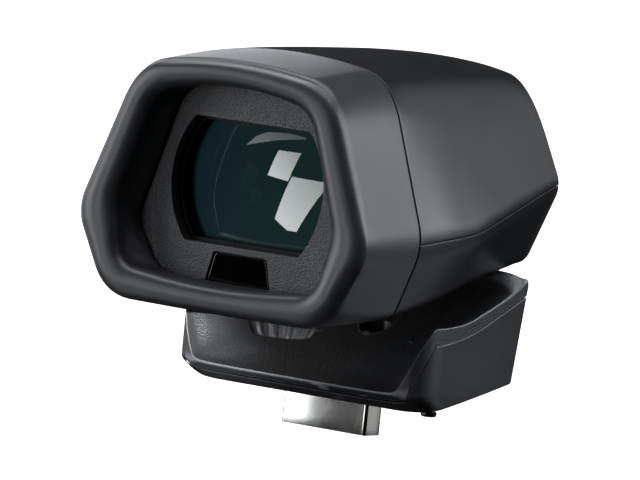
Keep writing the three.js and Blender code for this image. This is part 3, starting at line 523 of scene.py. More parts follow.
def frame_params(y):
    """the section that the eyecup slides over: its underside stays above the height that the seam has"""
    p, edge = head(y), head(SEAM_Y - 0.15)
    low = max(p[8], edge[8])
    p[7] += (p[4] - p[7]) * (low - p[8]) / (p[5] - p[8])
    p[8] = low
    p[10] = max(p[10], edge[10])
    return p


plate_outer = full_ring(frame_params(FACE_Y), FACE_Y, -2.15)[:, [0, 2]]
window_hole = polygon([(-5.87, 22.30), (-7.45, 16.0), (7.45, 16.0), (5.87, 22.30)], [0.9, 0.2, 0.2, 0.9])
face = extruded("face_plate", [plate_outer, clipped(OPENING_R, OPENING_CLIP), window_hole], FACE_Y, -34.62, edge=0.14)
window = extruded("sensor_glass", [polygon([(-5.62, 22.06), (-6.86, 17.1), (6.86, 17.1), (5.62, 22.06)], [0.75, 0.3, 0.3, 0.75])], FACE_Y + 0.2, FACE_Y + 0.9, edge=0.12)
sensor_seat = extruded("sensor_seat", [polygon([(-6.4, 22.9), (-8.0, 16.0), (8.0, 16.0), (6.4, 22.9)], [0.5] * 4)], FACE_Y + 1.0, FACE_Y + 1.6, edge=0.05)
ring = extruded("lens_ring", [clipped(18.0, 12.3, 1.2), clipped(OPENING_R - 0.62, OPENING_CLIP - 0.62, 0.8)], -34.45, -33.95, edge=0.1)

# rim of the frame behind the plate, and its inner sleeve
sleeve_rows = [full_ring(frame_params(y), y, -2.15) for y in (FACE_Y + 0.3, -33, -29, -24.6)]
sleeve_rows += [full_ring(frame_params(y), y, -2.9) for y in (-24.6, -29, -33, FACE_Y + 0.3)]
frame_sleeve = rows_object("frame_sleeve", sleeve_rows, wrap_j=True, sharp=40)

# ------------------------------------------------------------------ lenses


def lens(name, y_front, sag_front, y_back, sag_back, r, clip, n=160, m=28):
    a = np.linspace(0, 2 * math.pi, n, endpoint=False)
    with np.errstate(divide="ignore"):
        rho = np.minimum(r, clip / np.maximum(np.abs(np.sin(a)), 1e-6))
    rows_ = []
    for t in np.linspace(0.001, 1, m):
        rr = rho * t
        rows_.append(np.stack([rr * np.cos(a), y_front + sag_front * (rr / r) ** 2, LENS_Z + rr * np.sin(a)], 1))
    for t in np.linspace(1, 0.001, m):
        rr = rho * t
        rows_.append(np.stack([rr * np.cos(a), y_back - sag_back * (rr / r) ** 2, LENS_Z + rr * np.sin(a)], 1))
    return rows_object(name, rows_, cap0=True, cap1=True, sharp=40)


eye_lens = lens("eye_lens_glass", -34.3, 2.6, -26.9, 1.6, 17.65, 11.95)
middle_lens = lens("middle_lens_glass", -21.8, 1.6, -17.2, 0.6, 13.9, 11.4)
rear_lens = lens("rear_lens_glass", -16.4, 0.9, -12.2, 1.2, 13.9, 11.4)

# ------------------------------------------------------------------ dial


def dial_mesh():
    per = 16
    n = DIAL_RIBS * per
    a = np.linspace(0, 2 * math.pi, n, endpoint=False)
    wave = np.clip(np.cos(a * DIAL_RIBS) * 1.9 + 0.15, -1, 1) * 0.5 + 0.5
    rows_ = []

    def row(z, r, k):
        rr = r - 0.62 * k * (1 - wave)
        rows_.append(np.stack([rr * np.cos(a), DIAL_Y + rr * np.sin(a), np.full(n, z)], 1))

    R1, R0 = DIAL_R_TOP - 0.05, DIAL_R_BOTTOM + 0.3
    row(DIAL_TOP, 2.4, 0)
    row(DIAL_TOP, R1 - 0.95, 0)
    row(DIAL_TOP - 0.02, R1 - 0.5, 0.4)
    row(DIAL_TOP - 0.1, R1 - 0.15, 1)
    row(DIAL_TOP - 0.3, R1, 1)
    for s in np.linspace(0.08, 0.92, 10):
        row(DIAL_TOP - 0.3 + (DIAL_BOTTOM + 0.75 - DIAL_TOP) * s, R1 + (R0 - R1) * s, 1)
    row(DIAL_BOTTOM + 0.32, R0 - 0.12, 0.95)
    row(DIAL_BOTTOM + 0.14, R0 - 0.35, 0.6)
    row(DIAL_BOTTOM + 0.03, R0 - 0.72, 0.12)
    row(DIAL_BOTTOM, R0 - 0.95, 0)
    row(DIAL_BOTTOM, R0 - 1.35, 0)
    row(DIAL_BOTTOM + 0.06, R0 - 1.5, 0)
    row(DIAL_BOTTOM + 0.3, R0 - 1.6, 0)
    row(DIAL_BOTTOM + 0.35, R0 - 1.75, 0)
    row(DIAL_BOTTOM + 0.35, 0.01, 0)
    o = rows_object("dial_knob", rows_, cap0=True, cap1=True, sharp=40)
    return o


dial = dial_mesh()
dial_shaft = cyl("dial_shaft", 2.3, DIAL_TOP - 0.1, 17.3, at=(0, DIAL_Y, 0))

# ------------------------------------------------------------------ base

DROP = 4.8 / 33.0


def side_x(y):
    return 28.2 - DROP * (y - BASE_FRONT_Y)


edge_z = curve([(-20, 12.85), (-13.6, 12.9), (-8, 13.1), (-3.2, 13.6), (2, 14.95), (7.45, 16.5), (13, 18.3), (16, 19.5), (17.3, 20.4), (19, 21.7)])
saddle_z = curve([(-20, -0.15), (-18.4, 0.1), (-14.95, 0.75), (-10, 1.9), (-5.5, 3.3), (-1, 5.15), (3, 7.7), (6.5, 10.9), (9.3, 14.2), (11.4, 17.2), (12.6, 18.9)])
corner_x = curve([(-18.4, 22.8), (-17.7, 23), (-16.8, 23.2), (-15.4, 23.4), (-14.2, 23), (-12, 21.2), (-8, 18.9), (-3, 16.8), (3, 14.6), (9, 15.6), (13, 20.4), (18, 21.6)])
spread = curve([(-18.4, 0.9), (-15.4, 1.4), (-12.5, 3), (-8, 5.6), (-3, 7.2), (4, 7.4), (10, 4.4), (13, 2), (18, 0.8)])
tip_lift = curve([(-20, 1.1), (-13.8, 1.08), (-11.2, 1), (20, 1)])  # the diagonals end in a crisp corner
part_centre = curve([(-20, -1.8), (-18.4, -1.6), (-16, -1.25), (-14.95, -1.05), (-10, 0.1), (-5.5, 1.65), (-1, 3.4), (3, 5.8), (6.5, 8.6), (9.3, 10.6), (12.6, 12.2), (19, 13)])
part_edge = curve([(-20, 9.5), (-12.6, 9.75), (-8, 10.25), (-1.3, 11.45), (7.45, 14.1), (17.95, 17.6), (20, 18.2)])
part_corner = curve([(-18.4, 24.2), (-16.9, 25), (-15.7, 25.5), (-14.4, 25.7), (-13.2, 25), (-11.5, 23.2), (-8, 20.8), (-3, 18.6), (3, 16.8), (9, 16.4), (13, 17.5), (18, 18.5)])
part_spread = curve([(-18.4, 0.9), (-15, 1.2), (-12, 2.6), (-8, 4.8), (-3, 6.4), (4, 6.6), (10, 5.2), (13, 4), (18, 3.6)])


def ramp(d, k):
    return (d + np.sqrt(d * d + k * k)) / 2


def saddle_centre(y):
    y = np.asarray(y, float)
    d2 = KNUCKLE_R**2 - (y - PIVOT_Y) ** 2
    barrel = PIVOT_Z + np.sqrt(np.maximum(d2, 0))
    return np.where(y < PIVOT_Y - KNUCKLE_R + 0.03, saddle_z(y), barrel)


def saddle(x, y):
    k, x1, xe, c = spread(y), corner_x(y), side_x(y), saddle_centre(y)
    e = np.where(y > PIVOT_Y, np.minimum(edge_z(y), c + 1e-3), edge_z(y))
    return np.minimum(c + (e - c) * tip_lift(y) * ramp(np.abs(x) - x1, k) / ramp(xe - x1, k), np.maximum(e, c))


def parting(x, y):
    k, x1, xe = part_spread(y), part_corner(y), side_x(y)
    c, e = part_centre(y), part_edge(y)
    return np.minimum(c + (e - c) * tip_lift(y) * ramp(np.abs(x) - x1, k) / ramp(xe - x1, k), np.maximum(e, c))


grow_of = curve([(-3.9, -2.1), (-2.9, -1.4), (-2.2, -0.8), (-0.7, -0.2), (0.6, 0), (22, 0)])
front_y = curve([(-3.9, -12.4), (-2.9, -13.9), (-2.2, -14.9), (-0.7, -16.8), (0.3, -17.8), (0.9, -18), (22, -18)])
front_r = curve([(-3.7, 7.4), (-2.9, 7.2), (-0.7, 7), (0.6, 6.8), (12.5, 6.8), (22, 6.8)])

SEG = [("front", 40), ("fcorner", 36), ("side", 54), ("rcorner", 12), ("rear", 40)]


def outline_params():
    kind, s = [], []
    for k, (name, n) in enumerate(SEG):
        for i in range(n):
            kind.append(k)
            s.append(i / n)
    kind.append(4)
    s.append(1.0)
    return np.array(kind), np.array(s)


KIND, SPAR = outline_params()
HALF_B = len(KIND)


def outline_half(z, inset=0.0):
    """right half of the plan outline, one height for each point, from the front centre to the rear centre"""
    z = np.broadcast_to(np.asarray(z, float), (HALF_B,))
    grow = grow_of(z)
    rf = front_r(z)
    rr = np.full(HALF_B, 1.3)
    yf = front_y(z)
    yr = 15.90 + 0.1775 * (z - 2.74)
    w0 = side_x(yf) + grow
    w1 = side_x(yr) + grow * 0.5
    s = SPAR
    F = np.stack([w0, yf], 1)
    R = np.stack([w1, yr], 1)
    d = R - F
    d /= np.linalg.norm(d, axis=1)[:, None]
    a0 = np.stack([w0 - rf, yf], 1)
    a1 = F + d * rf[:, None]
    b0 = R - d * rr[:, None]
    b1 = np.stack([w1 - rr, yr], 1)
    S = s[:, None]
    front = np.stack([s * (w0 - rf), yf], 1)
    fc = a0 * (1 - S) ** 2 + F * 2 * S * (1 - S) + a1 * S * S
    side = a1 * (1 - S) + b0 * S
    rc = b0 * (1 - S) ** 2 + R * 2 * S * (1 - S) + b1 * S * S
    rear = np.stack([(1 - s) * (w1 - rr), yr], 1)
    K = KIND[:, None]
    xy = np.where(K == 0, front, np.where(K == 1, fc, np.where(K == 2, side, np.where(K == 3, rc, rear))))
    if inset:
        full = np.concatenate([xy, xy[1:-1][::-1] * np.array([-1, 1])])
        t = np.roll(full, -1, 0) - np.roll(full, 1, 0)
        t /= np.maximum(np.linalg.norm(t, axis=1), 1e-9)[:, None]
        full = full + np.stack([-t[:, 1], t[:, 0]], 1) * inset
        xy = full[:HALF_B]
        xy[0, 0] = xy[-1, 0] = 0
    return xy


def both(half):
    """mirrors a half loop of (x, y, z) into a closed one"""
    return np.concatenate([half, half[1:-1][::-1] * np.array([-1, 1, 1])])


def solve_loop(field, inset=0.0):
    z = np.full(HALF_B, 5.0)
    for _ in range(60):
        xy = outline_half(z, inset)
        z = 0.5 * z + 0.5 * field(xy[:, 0], xy[:, 1])
    return np.concatenate([outline_half(z, inset), z[:, None]], 1), z


def inward(loop_half, field, n, power=1.6, lift=0.0, centre=(9.0, 1.5), start=0.0):
    """rows from a loop to a central segment where the front and rear halves meet, on a height field"""
    out = []
    i = np.arange(HALF_B)
    part = np.minimum(i, HALF_B - 1 - i) / ((HALF_B - 1) / 2)
    c = np.stack([part * centre[0], np.full(HALF_B, centre[1])], 1)
    for j in range(1, n + 1):
        t = start + (1 - start) * (j / n) ** power
        xy = loop_half[:, :2] * (1 - t) + c * t
        z = field(xy[:, 0], xy[:, 1]) + lift
        out.append(both(np.concatenate([xy, z[:, None]], 1)))
    return out


def lofted(z_a, z_b, n, skip_first=False):
    out = []
    for s in np.linspace(0, 1, n)[(1 if skip_first else 0):]:
        z = z_a * (1 - s) + z_b * s
        out.append(both(np.concatenate([outline_half(z), z[:, None]], 1)))
    return out


def arc3(a, c, b, n):
    return [both(a * (1 - s) ** 2 + c * 2 * s * (1 - s) + b * s * s) for s in np.linspace(0, 1, n)]


CH = 0.46  # rounding of the rim
E, zE = solve_loop(saddle)
Pl, zP = solve_loop(parting)
Ei, zEi = solve_loop(saddle, inset=CH)


def at(z, inset=0.0):
    z = np.asarray(z, float)
    return np.concatenate([outline_half(z, inset), np.broadcast_to(z, (HALF_B,))[:, None]], 1)


GROOVE = 0.17
er = 0.14
cover_rows = []
cover_rows += inward(Pl, parting, 26, lift=GROOVE, start=0.0)[::-1]
cover_rows.append(both(at(zP + GROOVE, 1.1)))
cover_rows += arc3(at(zP + GROOVE, er), at(zP + GROOVE), at(zP + GROOVE + er), 4)
cover_rows += lofted(zP + GROOVE + 0.2, zE - CH - 0.02, 7)
cover_rows += arc3(at(zE - CH), E, Ei, 7)
cover_rows += inward(Ei, saddle, 60, power=1.35)
cover = rows_object("saddle_cover", cover_rows, sharp=55)

under = lambda x, y: 0.16 * y - 0.7
U, zU = solve_loop(under)
UB = 0.6
Ui, zUi = solve_loop(under, inset=UB)
base_rows = []
base_rows += inward(Pl, parting, 26, lift=-GROOVE)[::-1]
base_rows.append(both(at(zP - GROOVE, 1.1)))
base_rows += arc3(at(zP - GROOVE, er), at(zP - GROOVE), at(zP - GROOVE - er), 4)
base_rows += lofted(zP - GROOVE - 0.2, zU + UB + 0.02, 16)
base_rows += arc3(at(zU + UB), U, Ui, 6)
base_rows += inward(Ui, under, 24)
lower_base = rows_object("base_case", base_rows, sharp=55)

# room for the knuckle between the cheeks
for o in (cover, lower_base):
    c1 = cyl("cut", KNUCKLE_R + 0.4, -12.6, 12.6, "X", (0, PIVOT_Y, PIVOT_Z), n=96)
    boolean(o, c1, sharp=50)
    c2 = box_mesh("cut", -12.59, 12.59, PIVOT_Y - 3.2, PIVOT_Y + 6, PIVOT_Z - 0.6, 30)
    boolean(o, c2, sharp=50)
boolean(cover, cyl("cut", 4.0, 5.5, 30, at=(0, SCREW_Y, 0), n=96), sharp=50)
boolean(cover, cyl("cut", 1.9, -5, 30, at=(0, SCREW_Y, 0)), sharp=50)


def rounded(half, y0, y1, r, n=8):
    pts = []
    for cx, cy, a0 in ((half - r, y1 - r, 0), (-half + r, y1 - r, 90), (-half + r, y0 + r, 180), (half - r, y0 + r, 270)):
        for i in range(n + 1):
            a = math.radians(a0 + 90 * i / n)
            pts.append((cx + r * math.cos(a), cy + r * math.sin(a)))
    return pts


boolean(lower_base, extruded("cut", [rounded(PLUG_HALF + 0.3, PLUG_Y0 - 0.3, PLUG_Y1 + 0.3, 0.8)], -6, 0.6, "XY", edge=0.01), sharp=50)
boolean(lower_base, cyl("cut", 1.9, -5, 12, at=(0, SCREW_Y, 0)), sharp=50)
for x, y in ((20.6, -8.6), (-20.6, -8.6), (19.2, 9.5), (-19.2, 9.5)):
    z0 = y * SLOPE
    boolean(lower_base, cyl("cut", 1.75, z0 - 4, z0 + 1.1, at=(x, y, 0), n=48), sharp=50)
for x, y in ((24.92, -10.32), (-19.6, 4.2)):
    z0 = y * SLOPE
    boolean(lower_base, cyl("cut", LOCATOR_R + 0.05, z0 - 4, z0 + 1.2, at=(x, y, 0), n=48), sharp=50)

pins = []
for name, x, y in (("locating_pin_front", 24.92, -10.32), ("locating_pin_rear", -19.6, 4.2)):
    z = y * SLOPE
    r = LOCATOR_R
    prof = [(0, z + 1.2), (r - 0.25, z + 1.2), (r - 0.25, z - 0.5), (r - 0.2, z - 0.6), (r - 0.02, z - 0.72), (r, z - 0.85), (r, z - 1.2), (r - 0.08, z - 1.4), (r - 0.25, z - 1.52), (r - 0.5, z - 1.58), (0, z - 1.58)]
    pins.append((lathe(name + "_turned", prof, at=(x, y, 0), n=64), name))

# ------------------------------------------------------------------ plug

plug_shell = extruded("plug_case", [rounded(PLUG_HALF, PLUG_Y0, PLUG_Y1, 0.55, 8), rounded(PLUG_HALF - PLUG_T, PLUG_Y0 + PLUG_T, PLUG_Y1 - PLUG_T, 0.3, 8)], PLUG_BOTTOM, -0.1, "XY", edge=0.12)
for v in plug_shell.data.vertices:
    x, y = v.co.x / MM, v.co.y / MM
    if y < PLUG_Y0 + 1.0:
        v.co.y += 0.0021 * max(0.0, 3.0 - x) ** 2 * (PLUG_Y0 + 1.0 - y) * MM
g = PLUG_T + 0.05
plug_core = extruded("plug_core", [rounded(PLUG_HALF - g, PLUG_Y0 + g, PLUG_Y1 - g, 0.28, 8), rounded(7.2, -6.15, -4.97, 0.2)], PLUG_BOTTOM + 0.35, -0.2, "XY", edge=0.08)
contacts = []
for i in range(13):
    x = -6.6 + 13.2 * i / 12
    for y0, y1 in ((-6.3, -5.98), (-5.14, -4.82)):
        contacts.append(box_mesh("c", x - 0.24, x + 0.24, y0, y1, PLUG_BOTTOM + 0.7, -1.0, edge=0.05))
contacts = join("plug_contacts", contacts)

# ------------------------------------------------------------------ screws and hinge

screw_head = lathe("mount_screw_head", [(0, 5.82), (3.3, 5.82), (3.45, 5.95), (3.45, 8.05), (3.3, 8.28), (3.05, 8.38), (2.0, 8.4), (0, 8.4)], at=(0, SCREW_Y, 0), n=96)
boolean(screw_head, box_mesh("cut", -4, 4, SCREW_Y - 0.45, SCREW_Y + 0.45, 7.2, 9))
thread = []
for k in range(24):
    z = 0.9 - 0.2 * k
    thread += [(1.22, z), (1.45, z - 0.1)]
screw_shank = lathe("mount_screw_shank", [(0, 5.9), (1.3, 5.9), (1.3, 1.2)] + [p for p in thread if p[1] > -3.6] + [(1.0, -3.9), (0, -3.9)], at=(0, SCREW_Y, 0), n=48, sharp=25)

knuckle = lathe("hinge_knuckle", [(1.4, -11.4), (2.7, -11.4), (2.9, -11.33), (2.95, -11.15), (2.95, 11.15), (2.9, 11.33), (2.7, 11.4), (1.4, 11.4)], "X", (0, PIVOT_Y, PIVOT_Z), n=96, tube=True)
neck = box_mesh("hinge_neck", -10.4, 10.4, PIVOT_Y - 2.1, PIVOT_Y + 2.1, PIVOT_Z + 1.2, 24.2, edge=0.15)

# ------------------------------------------------------------------ materials


def material(name, color, rough=0.5, metallic=0.0, **sockets):
    m = bpy.data.materials.new(name)
    m.use_nodes = True
    nt = m.node_tree
    b = nt.nodes["Principled BSDF"]
    b.inputs["Base Color"].default_value = (*color, 1)
    b.inputs["Roughness"].default_value = rough
    b.inputs["Metallic"].default_value = metallic
    for k, v in sockets.items():
        b.inputs[k.replace("_", " ")].default_value = v
    return m


def node(m, kind, **props):
    n = m.node_tree.nodes.new(kind)
    for k, v in props.items():
        if hasattr(n, k):
            setattr(n, k, v)
        else:
            n.inputs[k.replace("_", " ")].default_value = v
    return n


def wire(m, a, out, b, inp):
    m.node_tree.links.new(a.outputs[out], b.inputs[inp])


def textured(name, color, rough, bump=(), colour_var=0.0, rough_var=0.0, var_scale=60, metallic=0.0, edge=0.0, **sockets):
    """bump: list of (kind, scale per metre, height in mm, detail); edge: how much lighter the sharp convex edges are
    painted, a painted highlight
    """
    m = material(name, color, rough, metallic, **sockets)
    nt = m.node_tree
    b = nt.nodes["Principled BSDF"]
    tc = node(m, "ShaderNodeTexCoord")
    if colour_var or rough_var:
        nz = node(m, "ShaderNodeTexNoise", Scale=var_scale, Detail=4.0, Roughness=0.6)
        wire(m, tc, "Object", nz, "Vector")
        painted_edge_highlight = None
        if edge:
            # painted highlight: pointiness lightens the base colour along sharp convex edges
            geo = node(m, "ShaderNodeNewGeometry")
            painted_edge_highlight = node(m, "ShaderNodeMapRange")
            painted_edge_highlight.inputs["From Min"].default_value, painted_edge_highlight.inputs["From Max"].default_value = 0.508, 0.535
            painted_edge_highlight.inputs["To Min"].default_value, painted_edge_highlight.inputs["To Max"].default_value = 1.0, 1.0 + edge
            wire(m, geo, "Pointiness", painted_edge_highlight, "Value")
        if colour_var:
            mr = node(m, "ShaderNodeMapRange")
            mr.inputs["From Min"].default_value, mr.inputs["From Max"].default_value = 0.3, 0.7
            mr.inputs["To Min"].default_value, mr.inputs["To Max"].default_value = 1 - colour_var, 1 + colour_var
            wire(m, nz, "Fac", mr, "Value")
            mx = node(m, "ShaderNodeMix", data_type="RGBA", blend_type="MULTIPLY")
            mx.inputs["Factor"].default_value = 1.0
            mx.inputs[6].default_value = (*color, 1)
            if painted_edge_highlight is None:
                wire(m, mr, "Result", mx, 7)
            else:
                both_ = node(m, "ShaderNodeMath", operation="MULTIPLY")
                m.node_tree.links.new(mr.outputs["Result"], both_.inputs[0])
                m.node_tree.links.new(painted_edge_highlight.outputs["Result"], both_.inputs[1])
                wire(m, both_, "Value", mx, 7)
            m.node_tree.links.new(mx.outputs[2], b.inputs["Base Color"])
        if rough_var:
            mr = node(m, "ShaderNodeMapRange")
            mr.inputs["From Min"].default_value, mr.inputs["From Max"].default_value = 0.3, 0.7
            mr.inputs["To Min"].default_value, mr.inputs["To Max"].default_value = rough - rough_var, rough + rough_var
            wire(m, nz, "Fac", mr, "Value")
            wire(m, mr, "Result", b, "Roughness")
    last = None
    for kind, scale, height, detail in bump:
        if kind == "voronoi":
            t = node(m, "ShaderNodeTexVoronoi", Scale=scale, Randomness=1.0)
            t.feature = "SMOOTH_F1"
            t.inputs["Smoothness"].default_value = detail
            out = "Distance"
        else:
            t = node(m, "ShaderNodeTexNoise", Scale=scale, Detail=detail, Roughness=0.55)
            out = "Fac"
        wire(m, tc, "Object", t, "Vector")
        bp = node(m, "ShaderNodeBump", Strength=1.0)
        bp.inputs["Distance"].default_value = height * MM
        wire(m, t, out, bp, "Height")
        if last is not None:
            wire(m, last, "Normal", bp, "Normal")
        last = bp
    if last is not None:
        wire(m, last, "Normal", b, "Normal")
    return m


# the edge amounts below paint highlights: each base colour turns lighter along sharp convex edges, most strongly on
# the grained cover
RUBBER = textured("eyecup_rubber", (0.032, 0.033, 0.037), 0.36, [("noise", 9000, 0.006, 2.0)], 0.04, 0.03, edge=0.25)
GRAIN = textured("moulded_grain", (0.017, 0.0175, 0.019), 0.46, [("voronoi", 3700, 0.062, 0.3), ("noise", 8000, 0.03, 3.0)], 0.12, 0.05, edge=8.0)
PLATE = textured("plate_grain", (0.029, 0.0294, 0.0322), 0.42, [("voronoi", 3100, 0.105, 0.3), ("noise", 6500, 0.05, 3.0)], 0.22, 0.07, edge=0.5)
PAINT = textured("case_paint", (0.012, 0.0124, 0.0142), 0.33, [("noise", 12000, 0.004, 2.0)], 0.03, 0.03, edge=0.6)
LOWER = textured("base_case_paint", (0.021, 0.0215, 0.024), 0.40, [("noise", 12000, 0.004, 2.0)], 0.03, 0.03, edge=1.5)
BLACK = textured("inner_black", (0.006, 0.006, 0.007), 0.65, [("noise", 5000, 0.01, 3.0)], 0.1, 0.05)
RINGM = textured("ring_black", (0.003, 0.0034, 0.0038), 0.62, [("noise", 5000, 0.004, 3.0)], 0.1, 0.05, Specular_IOR_Level=0.25)
DIALM = textured("dial_black", (0.006, 0.0063, 0.007), 0.45, [("noise", 8000, 0.006, 3.0)], 0.05, 0.04, edge=1.2)
GLOSS = textured("window_gloss", (0.0015, 0.0015, 0.002), 0.06, (), 0.0, 0.02)
PINM = textured("pin_gloss", (0.006, 0.006, 0.007), 0.16, (), 0.0, 0.03)
METAL = textured("plug_metal", (0.64, 0.63, 0.605), 0.14, (), 0.02, 0.015, 300, metallic=1.0)
GOLD = textured("contact_gold", (0.80, 0.62, 0.32), 0.28, (), 0.04, 0.05, 900, metallic=1.0)
# painted shade: the mount screw is made near black, far darker than the other steel, to stand for the deep shade under
# the head
MOUNT = textured("black_steel", (0.012, 0.012, 0.013), 0.42, [("noise", 3000, 0.003, 4.0)], 0.06, 0.06, 700, metallic=0.6)
STEEL = textured("dark_steel", (0.20, 0.20, 0.21), 0.32, [("noise", 3000, 0.003, 4.0)], 0.06, 0.06, 700, metallic=1.0)
BRONZE = textured("bronze", (0.45, 0.33, 0.17), 0.4, (), 0.06, 0.06, 700, metallic=1.0)
ALU = textured("inner_aluminium", (0.5, 0.51, 0.52), 0.4, [("noise", 3000, 0.003, 4.0)], 0.05, 0.06, 700, metallic=1.0)
BOARD = textured("circuit_board", (0.03, 0.12, 0.06), 0.35, [("voronoi", 900, 0.03, 0.2)], 0.15, 0.08, 400)
CABLE = textured("flat_cable", (0.35, 0.2, 0.06), 0.4, (), 0.1, 0.05, 300)
SCREEN = textured("display_glass", (0.006, 0.014, 0.018), 0.12, (), 0.1, 0.03, 300)
GLASS = material("lens_glass", (0.062, 0.145, 0.185), 0.0, 0.0, IOR=1.8)
GLASS.node_tree.nodes["Principled BSDF"].inputs["Transmission Weight"].default_value = 0.22
tint = node(GLASS, "ShaderNodeTexCoord")
across = node(GLASS, "ShaderNodeSeparateXYZ")
wire(GLASS, tint, "Object", across, "Vector")
ramp_ = node(GLASS, "ShaderNodeMapRange")
ramp_.inputs["From Min"].default_value, ramp_.inputs["From Max"].default_value = -0.012, 0.015
wire(GLASS, across, "X", ramp_, "Value")
painted_coat_reflection = node(GLASS, "ShaderNodeMix", data_type="RGBA")  # painted reflection: the coating's tinted reflection is painted into the base colour, from blue to green across the lens
painted_coat_reflection.inputs[6].default_value, painted_coat_reflection.inputs[7].default_value = (0.066, 0.155, 0.215, 1), (0.090, 0.235, 0.205, 1)
wire(GLASS, ramp_, "Result", painted_coat_reflection, 0)
GLASS.node_tree.links.new(painted_coat_reflection.outputs[2], GLASS.node_tree.nodes["Principled BSDF"].inputs["Base Color"])
INNER_GLASS = material("inner_lens_glass", (0.80, 0.95, 0.97), 0.0, 0.0, IOR=1.45, Specular_IOR_Level=0.15)
INNER_GLASS.node_tree.nodes["Principled BSDF"].inputs["Transmission Weight"].default_value = 1.0


def wear(obj, mat):
    obj.data.materials.clear()
    obj.data.materials.append(mat)


def piece(obj, mat, body, slot_name, *nodes):
    wear(obj, mat)
    for v in obj.data.vertices:  # the finer rounding stays inside the outline of the part
        if abs(v.co.x) > 31.3 * MM:
            v.co.x = math.copysign(31.3 * MM + (abs(v.co.x) - 31.3 * MM) * 0.86, v.co.x)
        if v.co.z > 58.9 * MM:
            v.co.z = 58.9 * MM + (v.co.z - 58.9 * MM) * 0.99
    obj.location.z += RAISE * MM
    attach(obj, body)
    if nodes:
        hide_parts(*nodes)
    return obj


piece(eyecup, RUBBER, "eyecup", "soft_rubber", "eyecup")
piece(upper, PAINT, "head", "upper_case", "upper_shell")
piece(lower, PAINT, "head", "head_lower_case", "lower_shell")
piece(dial_seat, PAINT, "head", "head_lower_case")
piece(face, PLATE, "head", "face_grain", "eyepiece_frame")
piece(frame_sleeve, BLACK, "head", "face_grain")
piece(window, GLOSS, "head", "window_gloss", "sensor_window")
piece(sensor_seat, BLACK, "head", "inner_black")
piece(ring, RINGM, "head", "ring_black", "lens_retainer")
piece(eye_lens, GLASS, "head", "lens_glass", "eye_lens")
piece(middle_lens, INNER_GLASS, "barrel", "inner_glass", "middle_lens")
piece(rear_lens, INNER_GLASS, "barrel", "inner_glass", "rear_lens")
piece(dial, DIALM, "dial", "dial_black", "dioptre_dial")
piece(dial_shaft, DIALM, "dial", "dial_black")
piece(cover, GRAIN, "base", "grained_cover", "base_cover")
piece(lower_base, LOWER, "base", "lower_case", "base_lower")
for o, n in pins:
    piece(o, PINM, "base", "pin_black", n)
piece(plug_shell, METAL, "base", "plug_metal", "plug_shell")
piece(plug_core, BLACK, "base", "inner_black", "plug_insulator")
piece(contacts, GOLD, "base", "contact_gold", "contact_row_front", "contact_row_rear")
piece(screw_head, MOUNT, "mount_screw", "mount_steel", "captive_screw")
piece(screw_shank, MOUNT, "mount_screw", "mount_steel")
piece(knuckle, PAINT, "head", "hinge_metal", "hinge_bracket")
piece(neck, PAINT, "head", "hinge_metal")

KEPT = {
    "proximity_sensor": BLACK, "sensor_board": BOARD, "barrel_guide": BLACK, "lens_barrel": BLACK, "cam_follower": STEEL,
    "dial_cam": BRONZE, "dial_screw": STEEL, "display_holder": BLACK, "display_panel": SCREEN, "driver_board": BOARD,
    "heat_spreader": ALU, "head_cable": CABLE, "bracket_screw_left": STEEL, "bracket_screw_right": STEEL, "hinge_pin": STEEL,
    "friction_washer_left": BRONZE, "friction_washer_right": BRONZE, "connector_board": BOARD, "screw_retainer": STEEL,
}
for i in range(1, 5):
    KEPT[f"shell_screw_{i}"] = STEEL
    KEPT[f"base_screw_{i}"] = STEEL
for n, m in KEPT.items():
    wear(NODES[n], m)

# ------------------------------------------------------------------ camera

RIGHT = Vector((0.7897, 0.6053, 0.0990)).normalized()
UP = Vector((-0.1284, 0.0053, 0.9917)).normalized()
BACK = RIGHT.cross(UP).normalized()
UP = BACK.cross(RIGHT).normalized()
TARGET = Vector((-1.851, -11.57, 24.64 + RAISE)) * MM
FOCAL = 500.0
DIST = FOCAL * 640 * 0.178 / 36.0 * MM
cam_data = bpy.data.cameras.new("camera")
cam_data.lens, cam_data.sensor_width = FOCAL, 36.0
cam_data.clip_start, cam_data.clip_end = 0.05, 100
cam = link(bpy.data.objects.new("camera", cam_data))
rot = Matrix((RIGHT, UP, BACK)).transposed().to_4x4()
cam.matrix_world = Matrix.Translation(TARGET + BACK * DIST) @ rot
bpy.context.scene.camera = cam

# ------------------------------------------------------------------ floor and light

floor_me = bpy.data.meshes.new("floor")
s = 30.0
floor_me.from_pydata([(-s, -s, -0.16), (s, -s, -0.16), (s, s, -0.16), (-s, s, -0.16)], [], [(0, 1, 2, 3)])
floor = link(bpy.data.objects.new("floor", floor_me))
pale = material("floor_pale", (0.8, 0.8, 0.8), 0.9)
pale.node_tree.nodes["Principled BSDF"].inputs["Emission Color"].default_value = (1, 1, 1, 1)
pale.node_tree.nodes["Principled BSDF"].inputs["Emission Strength"].default_value = 1.0
wear(floor, pale)
floor.visible_diffuse = floor.visible_glossy = floor.visible_transmission = floor.visible_shadow = False

world = bpy.data.worlds.new("studio")
world.use_nodes = True
world.node_tree.nodes["Background"].inputs["Color"].default_value = (1, 1, 1, 1)
world.node_tree.nodes["Background"].inputs["Strength"].default_value = 1.0
bpy.context.scene.world = world
world.cycles_visibility.diffuse = world.cycles_visibility.glossy = world.cycles_visibility.transmission = False


def area(name, pos, target, size, power, size_y=None, color=(1, 1, 1)):
    d = bpy.data.lights.new(name, "AREA")
    d.shape = "RECTANGLE"
    d.size, d.size_y = size, size_y or size
    d.energy = power
    d.color = color
    o = link(bpy.data.objects.new(name, d))
    o.location = pos
    o.rotation_euler = (Vector(target) - Vector(pos)).to_track_quat("-Z", "Y").to_euler()
    return o


